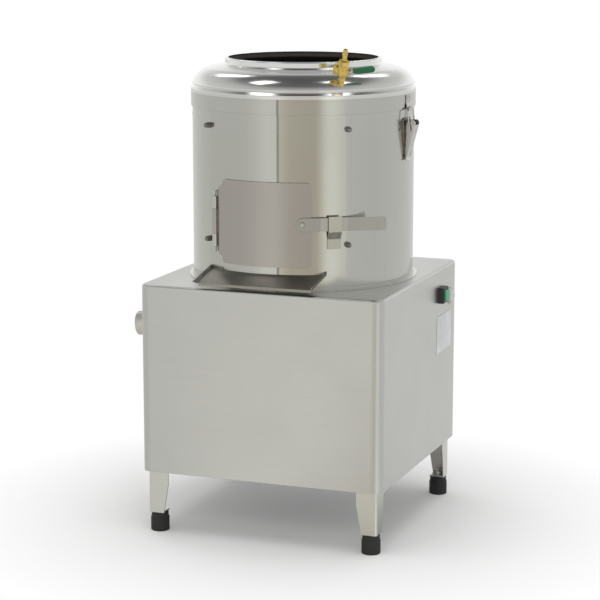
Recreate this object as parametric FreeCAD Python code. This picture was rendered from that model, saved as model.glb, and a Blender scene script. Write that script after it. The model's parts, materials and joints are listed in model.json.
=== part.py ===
# Electric potato peeler: peeling drum on a square cabinet, millimetres, Z up
import FreeCAD, Part
import math
import os

V = FreeCAD.Vector

# Cabinet
cabinet_width = 490.0
cabinet_depth = 490.0
cabinet_bottom = 123.0
cabinet_top = 491.0
sheet = 1.5
corner_radius = 20.0
fold_radius = 5.0
bottom_flange = 14.0
rear_opening_side_room = 90.0
rear_opening_rise = 42.0
rear_opening_drop = 36.0
rear_panel_lap = 14.0
rear_panel_thickness = 1.2
louvre_count = 6
louvre_length = 90.0
louvre_pitch = 22.0
louvre_depth = 6.0
panel_screw_radius = 2.0
panel_screw_head = 4.0

# Legs and feet
leg_inset = 11.0
leg_flange = 41.0
leg_foot_flange = 31.0
leg_sheet = 2.5
leg_bend = 5.0
leg_taper_drop = 27.0
foot_height = 38.0
foot_radius = 18.15
foot_top_radius = 16.6
foot_plate = 3.0
foot_inset = 27.0
foot_bolt_radius = 4.0
foot_nut_flats = 13.0
foot_nut_height = 6.5

# Drum
drum_radius = 216.0
drum_wall = 1.5
drum_sink = 61.0
drum_rise = 359.0
base_ring_flange = 8.0
base_ring_height = 7.0
pan_sheet = 1.5
pan_rise = 15.0
pan_depth = 35.5
pan_slope = 6.0
pan_collar_rise = 8.0
collar_gap = 0.3

# Abrasive liners and their bars
liner_thickness = 3.5
liner_drop = 322.0
liner_room = 12.0
liner_gap = 3.6
liner_angles = [43.0, 137.0, 231.0, 325.0]
clamp_bar_thickness = 5.5
clamp_bar_width = 21.0
clamp_bar_margin = 4.0
liner_bolt_drops = [272.5, 55.5]
liner_bolt_radius = 2.9
liner_nut_flats = 10.0
liner_nut_height = 5.5
liner_nut_dome_radius = 4.6
liner_nut_dome_top = 12.0
liner_nut_dome_bend = 3.8

# Door
door_half_angle = 24.2
door_chute_gap = 14.0
door_height = 160.0
door_sheet = 1.5
door_corner = 8.0
opening_half_angle = 21.5
door_lap = 8.0
opening_corner = 10.0
gasket_thickness = 1.2
gasket_clearance = 0.3
gasket_lap = 2.1
gasket_seat = 0.1
plug_clearance = 2.0
plug_depth = 4.5
tongue_angle = 27.0
tongue_rise = 13.0
tongue_drop = 12.0
hinge_angle = -29.0
hinge_offset = 5.6
barrel_radius = 5.0
hinge_pin_radius = 3.0
hinge_pin_head = 4.2
hinge_pin_rise = 19.0
hinge_pin_drop = 23.0
knuckle_rises = [29.5, 54.0, 102.4, 126.0]
knuckle_gap = 0.3
running_fit = 0.05

# Latch bar and catch
latch_angle = 19.8
latch_rise = 82.0
latch_width = 25.0
latch_thickness = 3.0
latch_gap = 0.3
latch_tail = 10.0
latch_tail_rounding = 11.25
latch_nose_rounding = 5.0
latch_lengths = [34.0, 53.0, 73.0]
latch_headings = [20.0, 35.0, 26.4]
rivet_radius = 4.0
rivet_head_radius = 5.4
rivet_head_height = 2.2
catch_angle = 35.8
catch_width = 26.0
catch_sheet = 2.0
catch_drop = 47.0
catch_knee_drop = 28.0
catch_shoulder_drop = 13.5
catch_rise = 15.0
catch_reach = 8.6

# Chute
chute_left = -119.0
chute_right = 107.0
chute_overhang = 2.0
chute_fall = 19.5
chute_root_rise = 31.0
chute_root_left = -33.4
chute_root_right = 32.0
chute_sheet = 1.5
chute_wall = 5.0
chute_left_flare = 14.0
chute_right_flare = 2.0
chute_tab_angle = -24.7
chute_tab_height = 5.0

# Hood
hood_sheet = 1.2
hood_lap = 27.3
hood_band_drop = 3.0
hood_band_gap = 2.66
hood_bead_swell = 3.6
hood_bead_rise = 7.5
hood_bead_start = 7.0
hood_groove_inset = 2.6
hood_groove_rise = 14.2
hood_edge_swell = 1.0
hood_edge_rise = 16.0
hood_shoulder_inset = 9.25
hood_shoulder_rise = 41.2
hood_shoulder_bend = 46.0
hood_neck_radius = 152.0
hood_neck_rise = 52.0
hood_rim_rise = 12.5
hood_rim_width = 6.0
seal_width = 4.1
seal_gap = 0.35

# Toggle latches
toggle_angles = [86.0, 266.0]
toggle_pivot_out = 15.0
toggle_pivot_drop = 55.0
toggle_hook_out = 7.3
toggle_hook_drop = 28.0
toggle_bail_out = 13.0
toggle_bail_drop = 69.0
bail_wire = 1.3
bail_half_width = 15.0
bail_bend = 4.0
bail_end = 8.8
hook_gap = 0.2
keeper_sheet = 1.5
keeper_half_width = 11.0
keeper_drop = 1.0
keeper_lip = 3.0
keeper_rivet_drop = 6.5
keeper_rivet_spread = 6.0
keeper_rivet_radius = 1.5
keeper_rivet_head = 3.0
toggle_pin_radius = 2.0
toggle_pin_head = 3.4
toggle_pin_cap = 1.3
cheek_inner = 9.0
cheek_sheet = 1.5
ear_inner = 7.0
ear_sheet = 1.5
ear_radius = 5.0
toggle_plate_sheet = 1.8
toggle_plate_half_width = 18.0
toggle_plate_half_foot = 10.0
toggle_plate_taper_drop = 82.0
toggle_plate_drop = 115.0
toggle_plate_room = 44.0

# Drain
drain_radius = 24.0
drain_wall = 2.0
drain_proud = 66.0
drain_y = -100.0
drain_drop = 10.5
drain_run = 170.0
drain_slope = 5.0
drain_hose_length = 60.0
drain_swage = 0.3
drain_hole_gap = 0.3

# Drive
drive_plate_rise = 57.0
drive_plate_sheet = 3.0
drive_plate_bend = 6.0
drive_plate_length = 340.0
drive_plate_gap = 1.5
spindle_radius = 15.0
spindle_seat_radius = 12.0
spindle_floor_gap = 5.0
spindle_shoulder_drop = 20.0
spindle_top_drop = 3.0
housing_tube_radius = 44.0
housing_flange_radius = 70.0
housing_flange_thickness = 8.0
housing_collar_rise = 8.0
housing_relief_radius = 38.0
housing_bolt_circle = 57.0
housing_bolt_radius = 4.0
housing_bolt_flats = 13.0
bearing_radius = 31.0
bearing_width = 16.0
bearing_lip = 4.0
upper_bearing_drop = 38.0
seal_height = 10.0
turntable_gap = 3.5
turntable_rise = 17.0
turntable_thickness = 6.0
turntable_hub_radius = 34.0
hub_gap = 16.0
paddle_count = 3
paddle_thickness = 4.0
paddle_drop = 26.0
paddle_outer = 198.0
abrasive_thickness = 7.0
abrasive_edge = 2.0
wave_count = 3
wave_height = 12.0
wave_width = 26.0
wave_inner = 45.0
wave_outer = 192.0
turntable_nut_radius = 17.0
turntable_nut_height = 16.0
spindle_thread_radius = 8.0
pulley_drop = 35.0
pulley_half_width = 9.0
pulley_radius = 110.0
motor_pulley_radius = 27.5
groove_depth = 10.0
groove_half_bottom = 4.0
groove_half_top = 6.0
pulley_web = 8.0
pulley_hub_radius = 25.0
belt_thickness = 8.0
belt_gap = 0.4
belt_half_inner = 3.6
belt_half_outer = 5.2
motor_x = 145.0
motor_y = 60.0
motor_radius = 66.0
motor_fin_radius = 71.0
motor_fin_count = 14
motor_fin_thickness = 3.0
motor_flange_radius = 80.0
motor_flange_thickness = 10.0
motor_height = 192.0
motor_shaft_radius = 9.5
motor_bolt_circle = 74.0
motor_bolt_radius = 3.0
motor_bolt_flats = 9.5

# Switches, plate and gland
switch_from_rear = 112.0
switch_drop = 54.0
switch_width = 34.0
switch_height = 32.0
switch_depth = 11.0
switch_body_margin = 2.0
switch_body_depth = 16.0
start_width = 26.0
start_height = 22.0
start_proud = 3.0
start_length = 18.0
button_travel = 3.0
button_gap = 0.3
stop_from_rear = 44.5
stop_drop = 68.0
stop_radius = 15.0
stop_proud = 5.0
stop_length = 14.0
stop_collar_radius = 18.0
stop_collar_height = 2.0
stop_cup_wall = 1.6
label_start_from_rear = 139.0
label_end_from_rear = 43.0
label_bottom_drop = 171.0
label_top_drop = 96.0
label_thickness = 0.8
gland_x = -120.0
gland_rise = 82.0
gland_thread = 8.0
gland_bore = 4.5
gland_flats = 20.0
gland_length = 22.0

# Water valve
valve_angle = 40.0
valve_foot_inset = 6.0
valve_foot_rise = 29.2
valve_lean = 19.0
valve_tail_radius = 5.0
valve_tail_inside = 14.0
valve_turned = 55.0
valve_ball_height = 26.0
valve_ball_radius = 11.0
valve_neck_radius = 6.5
valve_collar_low = 37.0
valve_collar_high = 45.0
valve_collar_flats = 19.0
barb_radius = 4.5
barb_ridge = 5.2
barb_top = 68.0
barb_bore = 2.5
boss_radius = 6.5
boss_end = 12.5
plug_radius = 8.5
plug_end = 17.0
stem_radius = 4.0
stem_fit = 0.05
strap_thickness = 2.0
strap_width = 9.0
strap_knee = 7.5
strap_crank = 50.0
strap_length = 40.0
grip_start = 4.0
grip_end = 48.0
grip_height = 11.5
grip_thickness = 6.0

# Sizes that follow from those above
rear_face = cabinet_depth / 2
right_face = cabinet_width / 2
drum_inner = drum_radius - drum_wall
liner_inner = drum_inner - liner_thickness
rear_opening_width = cabinet_width - rear_opening_side_room
rear_opening_low = cabinet_bottom + rear_opening_rise
rear_opening_high = cabinet_top - rear_opening_drop
drum_bottom = cabinet_top - drum_sink
drum_top = cabinet_top + drum_rise
pan_top = drum_bottom + pan_rise
pan_floor_centre = drum_bottom - pan_depth
pan_collar_top = drum_bottom + pan_collar_rise
liner_bottom = drum_top - liner_drop
liner_top = drum_top - liner_room
chute_root_height = cabinet_top + chute_root_rise
chute_lip_height = chute_root_height - chute_fall
door_bottom = chute_root_height + door_chute_gap
door_top = door_bottom + door_height
opening_bottom = door_bottom + door_lap
opening_top = door_top - door_lap
tongue_bottom = door_bottom + tongue_rise
tongue_top = door_top - tongue_drop
hinge_pin_bottom = door_bottom + hinge_pin_rise
hinge_pin_top = door_top - hinge_pin_drop
latch_height = door_bottom + latch_rise
catch_bottom = latch_height - catch_drop
catch_knee = latch_height - catch_knee_drop
catch_shoulder = latch_height - catch_shoulder_drop
catch_top = latch_height + catch_rise
hood_bottom = drum_top - hood_lap
hood_band_top = drum_top - hood_band_drop
hood_band_radius = drum_radius + hood_band_gap
hood_bead_radius = drum_radius + hood_bead_swell
hood_bead_height = drum_top + hood_bead_rise
hood_groove_radius = drum_radius - hood_groove_inset
hood_groove_height = drum_top + hood_groove_rise
hood_edge_radius = drum_radius + hood_edge_swell
hood_edge_height = drum_top + hood_edge_rise
hood_shoulder_radius = drum_radius - hood_shoulder_inset
hood_shoulder_height = drum_top + hood_shoulder_rise
hood_neck_height = drum_top + hood_neck_rise
hood_rim_height = hood_neck_height + hood_rim_rise
hood_mouth_radius = hood_neck_radius - hood_rim_width
keeper_top = drum_top - keeper_drop
keeper_rivet_height = drum_top - keeper_rivet_drop
toggle_plate_taper = drum_top - toggle_plate_taper_drop
toggle_plate_bottom = drum_top - toggle_plate_drop
toggle_plate_top = drum_top - toggle_plate_room
drive_plate_height = cabinet_bottom + drive_plate_rise
spindle_bottom = cabinet_bottom + spindle_floor_gap
spindle_shoulder = drive_plate_height - spindle_shoulder_drop
turntable_low = cabinet_top + turntable_rise
spindle_top_shoulder = turntable_low - spindle_top_drop
housing_top = pan_collar_top + housing_collar_rise
upper_bearing_low = housing_top - upper_bearing_drop
turntable_hub_low = housing_top + hub_gap
pulley_level = drive_plate_height - pulley_drop
motor_top = drive_plate_height + motor_height
turntable_radius = liner_inner - turntable_gap
abrasive_radius = turntable_radius - abrasive_edge
switch_y = rear_face - switch_from_rear
switch_z = cabinet_top - switch_drop
stop_y = rear_face - stop_from_rear
stop_z = cabinet_top - stop_drop
label_low_y = rear_face - label_start_from_rear
label_high_y = rear_face - label_end_from_rear
label_low_z = cabinet_top - label_bottom_drop
label_high_z = cabinet_top - label_top_drop
gland_z = cabinet_bottom + gland_rise
valve_foot_radius = drum_radius - valve_foot_inset
valve_foot_height = drum_top + valve_foot_rise
liner_bolt_heights = [drum_top - drop for drop in liner_bolt_drops]
knuckle_levels = [door_bottom + rise for rise in knuckle_rises]
chute_front = -cabinet_depth / 2 - chute_overhang
toggle_pivot = (drum_radius + toggle_pivot_out, drum_top - toggle_pivot_drop)
toggle_hook = (drum_radius + toggle_hook_out, drum_top - toggle_hook_drop)
toggle_bail = (drum_radius + toggle_bail_out, drum_top - toggle_bail_drop)
drain_end = (-right_face - drain_proud, drain_y, pan_floor_centre - drain_drop)
hinge_radius = drum_radius + hinge_offset
door_inner = drum_radius + gasket_clearance + gasket_thickness
door_outer = door_inner + door_sheet
hood_inner_band = hood_band_radius - hood_sheet
turntable_top = turntable_low + turntable_thickness
abrasive_top = turntable_top + abrasive_thickness
belt_inner_large = pulley_radius - groove_depth + belt_gap
belt_inner_small = motor_pulley_radius - groove_depth + belt_gap


def polar(radius, angle, height=0.0):
    a = math.radians(angle)
    return V(radius * math.sin(a), -radius * math.cos(a), height)


def cylinder(radius, low, high, x=0.0, y=0.0):
    return Part.makeCylinder(radius, high - low, V(x, y, low))


def ring(outer, inner, low, high):
    return cylinder(outer, low, high).cut(cylinder(inner, low - 1, high + 1))


def block(x0, x1, y0, y1, z0, z1):
    return Part.makeBox(x1 - x0, y1 - y0, z1 - z0, V(x0, y0, z0))


def turned(shape, angle):
    # turns a piece built on the +X side to the given angle from the front
    copy = shape.copy()
    copy.rotate(V(0, 0, 0), V(0, 0, 1), angle - 90)
    return copy


def rounded_edges(points, radii):
    edges = []
    current = points[0]
    for i in range(1, len(points) - 1):
        corner = points[i]
        to_last = (points[i - 1] - corner).normalize()
        to_next = (points[i + 1] - corner).normalize()
        radius = radii[i - 1]
        if radius <= 0.001:
            edges.append(Part.LineSegment(current, corner).toShape())
            current = corner
            continue
        half = to_last.getAngle(to_next) / 2
        start = corner + to_last * (radius / math.tan(half))
        end = corner + to_next * (radius / math.tan(half))
        middle_way = (to_last + to_next).normalize()
        middle = corner + middle_way * (radius / math.sin(half) - radius)
        if start.distanceToPoint(current) > 1e-5:
            edges.append(Part.LineSegment(current, start).toShape())
        edges.append(Part.Arc(start, middle, end).toShape())
        current = end
    if current.distanceToPoint(points[-1]) > 1e-5:
        edges.append(Part.LineSegment(current, points[-1]).toShape())
    return edges


def offset_path(points, radii, distance):
    # path to the left of the given one, with matching bend radii
    ways = [(points[i + 1] - points[i]).normalize() for i in range(len(points) - 1)]
    sides = [V(-w.y, w.x, 0) for w in ways]
    moved = [points[0] + sides[0] * distance]
    bends = []
    for i in range(1, len(points) - 1):
        before = sides[i - 1]
        after = sides[i]
        share = distance / (1 + before.dot(after))
        moved.append(points[i] + (before + after) * share)
        left_turn = ways[i - 1].cross(ways[i]).z > 0
        change = -distance if left_turn else distance
        bends.append(max(radii[i - 1] + change, 0.0))
    moved.append(points[-1] + sides[-1] * distance)
    return moved, bends


def strip_face(pairs, radii, thickness):
    # bent sheet in section: a path and its offset to the left
    points = [V(u, v, 0) for u, v in pairs]
    other, bends = offset_path(points, radii, thickness)
    edges = rounded_edges(points, radii)
    edges.append(Part.LineSegment(points[-1], other[-1]).toShape())
    edges += rounded_edges(other[::-1], bends[::-1])
    edges.append(Part.LineSegment(other[0], points[0]).toShape())
    return Part.Face(Part.Wire(Part.sortEdges(edges)[0]))


def polygon_face(pairs, radii=None):
    # closed outline whose first and last corners may be rounded too
    points = [V(u, v, 0) for u, v in pairs]
    count = len(points)
    if radii is None:
        radii = [0.0] * count
    start = (points[0] + points[-1]) * 0.5
    path = [start] + points + [start]
    return Part.Face(Part.Wire(Part.sortEdges(rounded_edges(path, radii))[0]))


def upright(face):
    # carries a section drawn in X and Y to X and Z
    copy = face.copy()
    copy.rotate(V(0, 0, 0), V(1, 0, 0), 90)
    return copy


def spin(face, x=0.0, y=0.0):
    solid = upright(face).revolve(V(0, 0, 0), V(0, 0, 1), 360)
    solid.translate(V(x, y, 0))
    return solid


def across(face, low, high):
    # section in X and Z drawn out along Y from low to high
    solid = upright(face).extrude(V(0, high - low, 0))
    solid.translate(V(0, low, 0))
    return solid


def slab(inner, outer, a0, a1, low, high, corner=0.0):
    # curved plate between two radii and two angles, corners rounded on its face
    middle = (a0 + a1) / 2
    edges = [
        Part.Arc(polar(outer, a0, low), polar(outer, middle, low), polar(outer, a1, low)).toShape(),
        Part.LineSegment(polar(outer, a1, low), polar(inner, a1, low)).toShape(),
        Part.Arc(polar(inner, a1, low), polar(inner, middle, low), polar(inner, a0, low)).toShape(),
        Part.LineSegment(polar(inner, a0, low), polar(outer, a0, low)).toShape(),
    ]
    solid = Part.Face(Part.Wire(edges)).extrude(V(0, 0, high - low))
    if corner <= 0:
        return solid
    chosen = []
    for edge in solid.Edges:
        ends = [vertex.Point for vertex in edge.Vertexes]
        level = abs(ends[0].z - ends[-1].z) < 1e-6
        radial = abs(math.hypot(ends[0].x, ends[0].y) - math.hypot(ends[-1].x, ends[-1].y)) > 1e-3
        if level and radial:
            chosen.append(edge)
    return solid.makeFillet(corner, chosen)


def rounded_plate(width, depth, radius, low, high):
    w = width / 2
    d = depth / 2
    outline = [(-w, -d), (w, -d), (w, d), (-w, d)]
    face = polygon_face(outline, [radius] * 4)
    face.translate(V(0, 0, low))
    return face.extrude(V(0, 0, high - low))


def crowned_block(width, depth, radius, low, high, fold):
    solid = rounded_plate(width, depth, radius, low, high)
    top = [e for e in solid.Edges if all(abs(v.Point.z - high) < 1e-6 for v in e.Vertexes)]
    return solid.makeFillet(fold, top)


def hexagon(flats, low, high, x=0.0, y=0.0):
    reach = flats / math.sqrt(3)
    pairs = []
    for i in range(6):
        a = math.radians(60 * i + 30)
        pairs.append((x + reach * math.cos(a), y + reach * math.sin(a)))
    face = polygon_face(pairs)
    face.translate(V(0, 0, low))
    return face.extrude(V(0, 0, high - low))


def outward(shape, height):
    # lays a piece built along +Z down along +X, its base plane at X = 0
    copy = shape.copy()
    copy.rotate(V(0, 0, 0), V(0, 1, 0), 90)
    copy.translate(V(0, 0, height))
    return copy


def bent_wire(points, radii, wire_radius):
    path = Part.Wire(rounded_edges(points, radii))
    way = points[1] - points[0]
    section = Part.Wire(Part.Circle(points[0], way, wire_radius).toShape())
    return path.makePipeShell([section], True, False)


def bolt(flats, head, shank_radius, shank_length):
    # head above the plane Z = 0, shank below it
    return hexagon(flats, 0, head).fuse(cylinder(shank_radius, -shank_length, 0))


def drain_way():
    a = math.radians(drain_slope)
    return V(-math.cos(a), 0, -math.sin(a))


def drain_bar(radius, start_back, end_ahead=0.0):
    way = drain_way()
    start = V(*drain_end) - way * start_back
    return Part.makeCylinder(radius, start_back + end_ahead, start, way)


def motor_bolt_points():
    points = []
    for i in range(4):
        a = math.radians(45 + 90 * i)
        x = motor_x + motor_bolt_circle * math.cos(a)
        y = motor_y + motor_bolt_circle * math.sin(a)
        points.append((x, y))
    return points


def housing_bolt_points():
    points = []
    for i in range(4):
        a = math.radians(90 * i + 60)
        points.append((housing_bolt_circle * math.cos(a), housing_bolt_circle * math.sin(a)))
    return points


def panel_screw_points():
    half = rear_opening_width / 2 + rear_panel_lap / 2
    middle = (rear_opening_low + rear_opening_high) / 2
    low = rear_opening_low - rear_panel_lap / 2
    high = rear_opening_high + rear_panel_lap / 2
    return [(x, z) for x in (-half, half) for z in (low, middle, high)]


def rearward(shape, x, z):
    # lays a piece built along +Z down along +Y on the rear face
    copy = shape.copy()
    copy.rotate(V(0, 0, 0), V(1, 0, 0), -90)
    copy.translate(V(x, rear_face, z))
    return copy


def make_housing_shell():
    shell = crowned_block(cabinet_width, cabinet_depth, corner_radius, cabinet_bottom, cabinet_top, fold_radius)
    inner_w = cabinet_width - 2 * sheet
    inner_d = cabinet_depth - 2 * sheet
    inner_r = corner_radius - sheet
    hollow = crowned_block(inner_w, inner_d, inner_r, cabinet_bottom - 1, cabinet_top - sheet, fold_radius - sheet)
    shell = shell.cut(hollow)
    flange = rounded_plate(inner_w, inner_d, inner_r, cabinet_bottom, cabinet_bottom + sheet)
    inset = 2 * bottom_flange
    window = rounded_plate(inner_w - inset, inner_d - inset, inner_r / 2, cabinet_bottom - 1, cabinet_bottom + 9)
    shell = shell.fuse(flange.cut(window))
    shell = shell.cut(cylinder(drum_radius, cabinet_top - 10, cabinet_top + 10))
    half = rear_opening_width / 2
    back = block(-half, half, rear_face - 10, rear_face + 5, rear_opening_low, rear_opening_high)
    shell = shell.cut(back)
    shell = shell.cut(drain_bar(drain_radius + drain_hole_gap, 100))
    body_w = switch_width / 2 - switch_body_margin
    body_h = switch_height / 2 - switch_body_margin
    x0 = right_face - 5
    x1 = right_face + 5
    hole = block(x0, x1, switch_y - body_w, switch_y + body_w, switch_z - body_h, switch_z + body_h)
    shell = shell.cut(hole)
    cup = stop_radius + button_gap + stop_cup_wall
    shell = shell.cut(side_bar(cup, -5, 5, stop_y, stop_z))
    for x, z in panel_screw_points():
        shell = shell.cut(rearward(cylinder(panel_screw_radius, -5, 5), x, z))
    return shell.removeSplitter()


def side_bar(radius, inner, outer, y, z):
    # round bar along X through the right wall, measured from its outer face
    length = outer - inner
    return Part.makeCylinder(radius, length, V(right_face + inner, y, z), V(1, 0, 0))


def make_rear_panel():
    half = rear_opening_width / 2 + rear_panel_lap
    low = rear_opening_low - rear_panel_lap
    high = rear_opening_high + rear_panel_lap
    y1 = rear_face + rear_panel_thickness
    panel = block(-half, half, rear_face, y1, low, high)
    lip_face = strip_face([(0, 0), (louvre_depth, -louvre_depth)], [], rear_panel_thickness)
    for side in (-1, 1):
        for i in range(louvre_count):
            z = (low + high) / 2 + (i - (louvre_count - 1) / 2) * louvre_pitch
            x = side * (louvre_length / 2 + louvre_pitch)
            x0 = x - louvre_length / 2
            slot = block(x0, x0 + louvre_length, rear_face - 1, y1 + 1, z - louvre_depth, z)
            panel = panel.cut(slot)
            lip = lip_face.copy()
            lip.rotate(V(0, 0, 0), V(1, 0, 0), 90)
            lip.rotate(V(0, 0, 0), V(0, 0, 1), 90)
            lip = lip.extrude(V(louvre_length, 0, 0))
            lip.translate(V(x0, y1 - rear_panel_thickness / 2, z))
            panel = panel.fuse(lip)
    for x, z in panel_screw_points():
        panel = panel.cut(rearward(cylinder(panel_screw_radius, -5, 5), x, z))
    panel = panel.cut(rearward(cylinder(gland_thread, -5, 5), gland_x, gland_z))
    return panel.removeSplitter()


def make_rear_panel_screws():
    screws = []
    t = rear_panel_thickness
    for x, z in panel_screw_points():
        head = cylinder(panel_screw_head, t, t + 2.4)
        shank = cylinder(panel_screw_radius, -sheet - 4, t)
        screws.append(rearward(head.fuse(shank), x, z))
    return Part.makeCompound(screws)


def make_leg():
    # leg of the front right corner
    x1 = right_face - leg_inset
    y0 = -cabinet_depth / 2 + leg_inset
    low = foot_height
    high = cabinet_bottom
    path = [(x1, y0 + leg_flange), (x1, y0), (x1 - leg_flange, y0)]
    angle = strip_face(path[::-1], [leg_bend], leg_sheet)
    angle.translate(V(0, 0, low))
    leg = angle.extrude(V(0, 0, high - low))
    bend_low = high - leg_taper_drop
    toe = leg_flange - leg_foot_flange
    side = [(0, low), (0, high), (leg_flange, high), (leg_flange, bend_low), (leg_flange - toe, low)]
    taper = across(polygon_face([(x1 - u, z) for u, z in side]), y0 - 1, y0 + leg_flange + 1)
    leg = leg.common(taper)
    swung = across(polygon_face([(u, z) for u, z in side]), -1, leg_flange + 1)
    swung.rotate(V(0, 0, 0), V(0, 0, 1), 90)
    swung.translate(V(x1, y0, 0))
    leg = leg.common(swung)
    reach = leg_foot_flange - 1
    inner_x = x1 - leg_sheet / 2
    inner_y = y0 + leg_sheet / 2
    plate = block(x1 - reach, inner_x, inner_y, y0 + reach, low, low + foot_plate)
    cut_corner = cylinder(leg_bend, low - 1, low + foot_plate + 1, x1 - leg_bend, y0 + leg_bend)
    corner = block(x1 - leg_bend, x1, y0, y0 + leg_bend, low - 1, low + foot_plate + 1).cut(cut_corner)
    leg = leg.fuse(plate.cut(corner))
    fx, fy = foot_point()
    leg = leg.cut(cylinder(foot_bolt_radius, low - 1, low + foot_plate + 1, fx, fy))
    return leg.removeSplitter()


def foot_point():
    return right_face - foot_inset, -cabinet_depth / 2 + foot_inset


def four_corners(shape):
    left = shape.mirror(V(0, 0, 0), V(1, 0, 0))
    return [shape, left, shape.mirror(V(0, 0, 0), V(0, 1, 0)), left.mirror(V(0, 0, 0), V(0, 1, 0))]


def make_rubber_feet():
    fx, fy = foot_point()
    waist = foot_height * 0.7
    outline = [(0, 0), (foot_radius - 1.5, 0), (foot_radius, 1.5), (foot_radius, waist)]
    outline += [(foot_top_radius, waist + 3), (foot_top_radius, foot_height), (0, foot_height)]
    foot = spin(polygon_face(outline), fx, fy)
    foot = foot.cut(cylinder(foot_bolt_radius, foot_height / 2, foot_height + 1, fx, fy))
    return Part.makeCompound(four_corners(foot))


def make_foot_bolts():
    fx, fy = foot_point()
    top = foot_height + foot_plate
    nut = hexagon(foot_nut_flats, top, top + foot_nut_height, fx, fy)
    stud = cylinder(foot_bolt_radius, foot_height / 2, top + foot_nut_height + 5, fx, fy)
    return Part.makeCompound(four_corners(nut.fuse(stud)))


def make_drive_plate():
    edge = cabinet_width / 2 - sheet - drive_plate_gap
    floor = cabinet_bottom + sheet
    top = drive_plate_height
    path = [(-edge, floor), (-edge, top), (edge, top), (edge, floor)]
    face = strip_face(path[::-1], [drive_plate_bend, drive_plate_bend], drive_plate_sheet)
    plate = across(face, -drive_plate_length / 2, drive_plate_length / 2)
    plate = plate.cut(cylinder(bearing_radius - bearing_lip, top - 10, top + 5))
    plate = plate.cut(cylinder(motor_pulley_radius + 3, top - 10, top + 5, motor_x, motor_y))
    for x, y in motor_bolt_points():
        plate = plate.cut(cylinder(motor_bolt_radius, top - 10, top + 5, x, y))
    for x, y in housing_bolt_points():
        plate = plate.cut(cylinder(housing_bolt_radius, top - 10, top + 5, x, y))
    return plate


def make_spindle_housing():
    low = drive_plate_height
    flange_top = low + housing_flange_thickness
    seat_top = low + bearing_lip + bearing_width + 4
    lip = bearing_radius - bearing_lip
    outline = [(lip, low), (housing_flange_radius, low), (housing_flange_radius, flange_top)]
    outline += [(housing_tube_radius, flange_top), (housing_tube_radius, housing_top)]
    outline += [(bearing_radius, housing_top), (bearing_radius, upper_bearing_low)]
    outline += [(housing_relief_radius, upper_bearing_low), (housing_relief_radius, seat_top)]
    outline += [(bearing_radius, seat_top), (bearing_radius, low + bearing_lip), (lip, low + bearing_lip)]
    housing = spin(polygon_face(outline))
    for x, y in housing_bolt_points():
        housing = housing.cut(cylinder(housing_bolt_radius, low - 1, flange_top + 1, x, y))
    return housing


def make_plate_bolts(points, flats, radius, seat):
    bolts = []
    for x, y in points:
        piece = bolt(flats, radius * 1.4, radius, seat - drive_plate_height + drive_plate_sheet + 6)
        piece.translate(V(x, y, seat))
        bolts.append(piece)
    return Part.makeCompound(bolts)


def make_spindle_bearings():
    bore = spindle_radius + running_fit
    low = drive_plate_height + bearing_lip
    lower = ring(bearing_radius, bore, low, low + bearing_width)
    upper = ring(bearing_radius, bore, upper_bearing_low, upper_bearing_low + bearing_width)
    return Part.makeCompound([lower, upper])


def make_shaft_seal():
    return ring(bearing_radius, spindle_radius + running_fit, housing_top - seal_height, housing_top)


def make_spindle():
    nut_top = abrasive_top + turntable_nut_height
    outline = [(0, spindle_bottom), (spindle_seat_radius, spindle_bottom)]
    outline += [(spindle_seat_radius, spindle_shoulder), (spindle_radius, spindle_shoulder)]
    outline += [(spindle_radius, spindle_top_shoulder), (spindle_thread_radius, spindle_top_shoulder)]
    outline += [(spindle_thread_radius, nut_top - 5), (0, nut_top - 5)]
    return spin(polygon_face(outline))


def pulley_outline(bore, hub, outer, hub_low, hub_high):
    low = pulley_level - pulley_half_width
    high = pulley_level + pulley_half_width
    bottom = outer - groove_depth
    rim_inner = bottom - pulley_web
    web_low = pulley_level - pulley_web / 2
    web_high = pulley_level + pulley_web / 2
    groove = [(outer, pulley_level - groove_half_top), (bottom, pulley_level - groove_half_bottom)]
    groove += [(bottom, pulley_level + groove_half_bottom), (outer, pulley_level + groove_half_top)]
    if rim_inner > hub + 1:
        outline = [(bore, hub_low), (hub, hub_low), (hub, web_low), (rim_inner, web_low), (rim_inner, low)]
        outline += [(outer, low)] + groove + [(outer, high), (rim_inner, high), (rim_inner, web_high)]
        outline += [(hub, web_high), (hub, hub_high), (bore, hub_high)]
        return outline
    return [(bore, low), (outer, low)] + groove + [(outer, high), (bore, high)]


def make_spindle_pulley():
    outline = pulley_outline(spindle_seat_radius, pulley_hub_radius, pulley_radius, spindle_bottom + 3, spindle_shoulder)
    return spin(polygon_face(outline))


def make_motor_pulley():
    outline = pulley_outline(motor_shaft_radius, motor_pulley_radius, motor_pulley_radius, 0, 0)
    return spin(polygon_face(outline), motor_x, motor_y)


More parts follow.
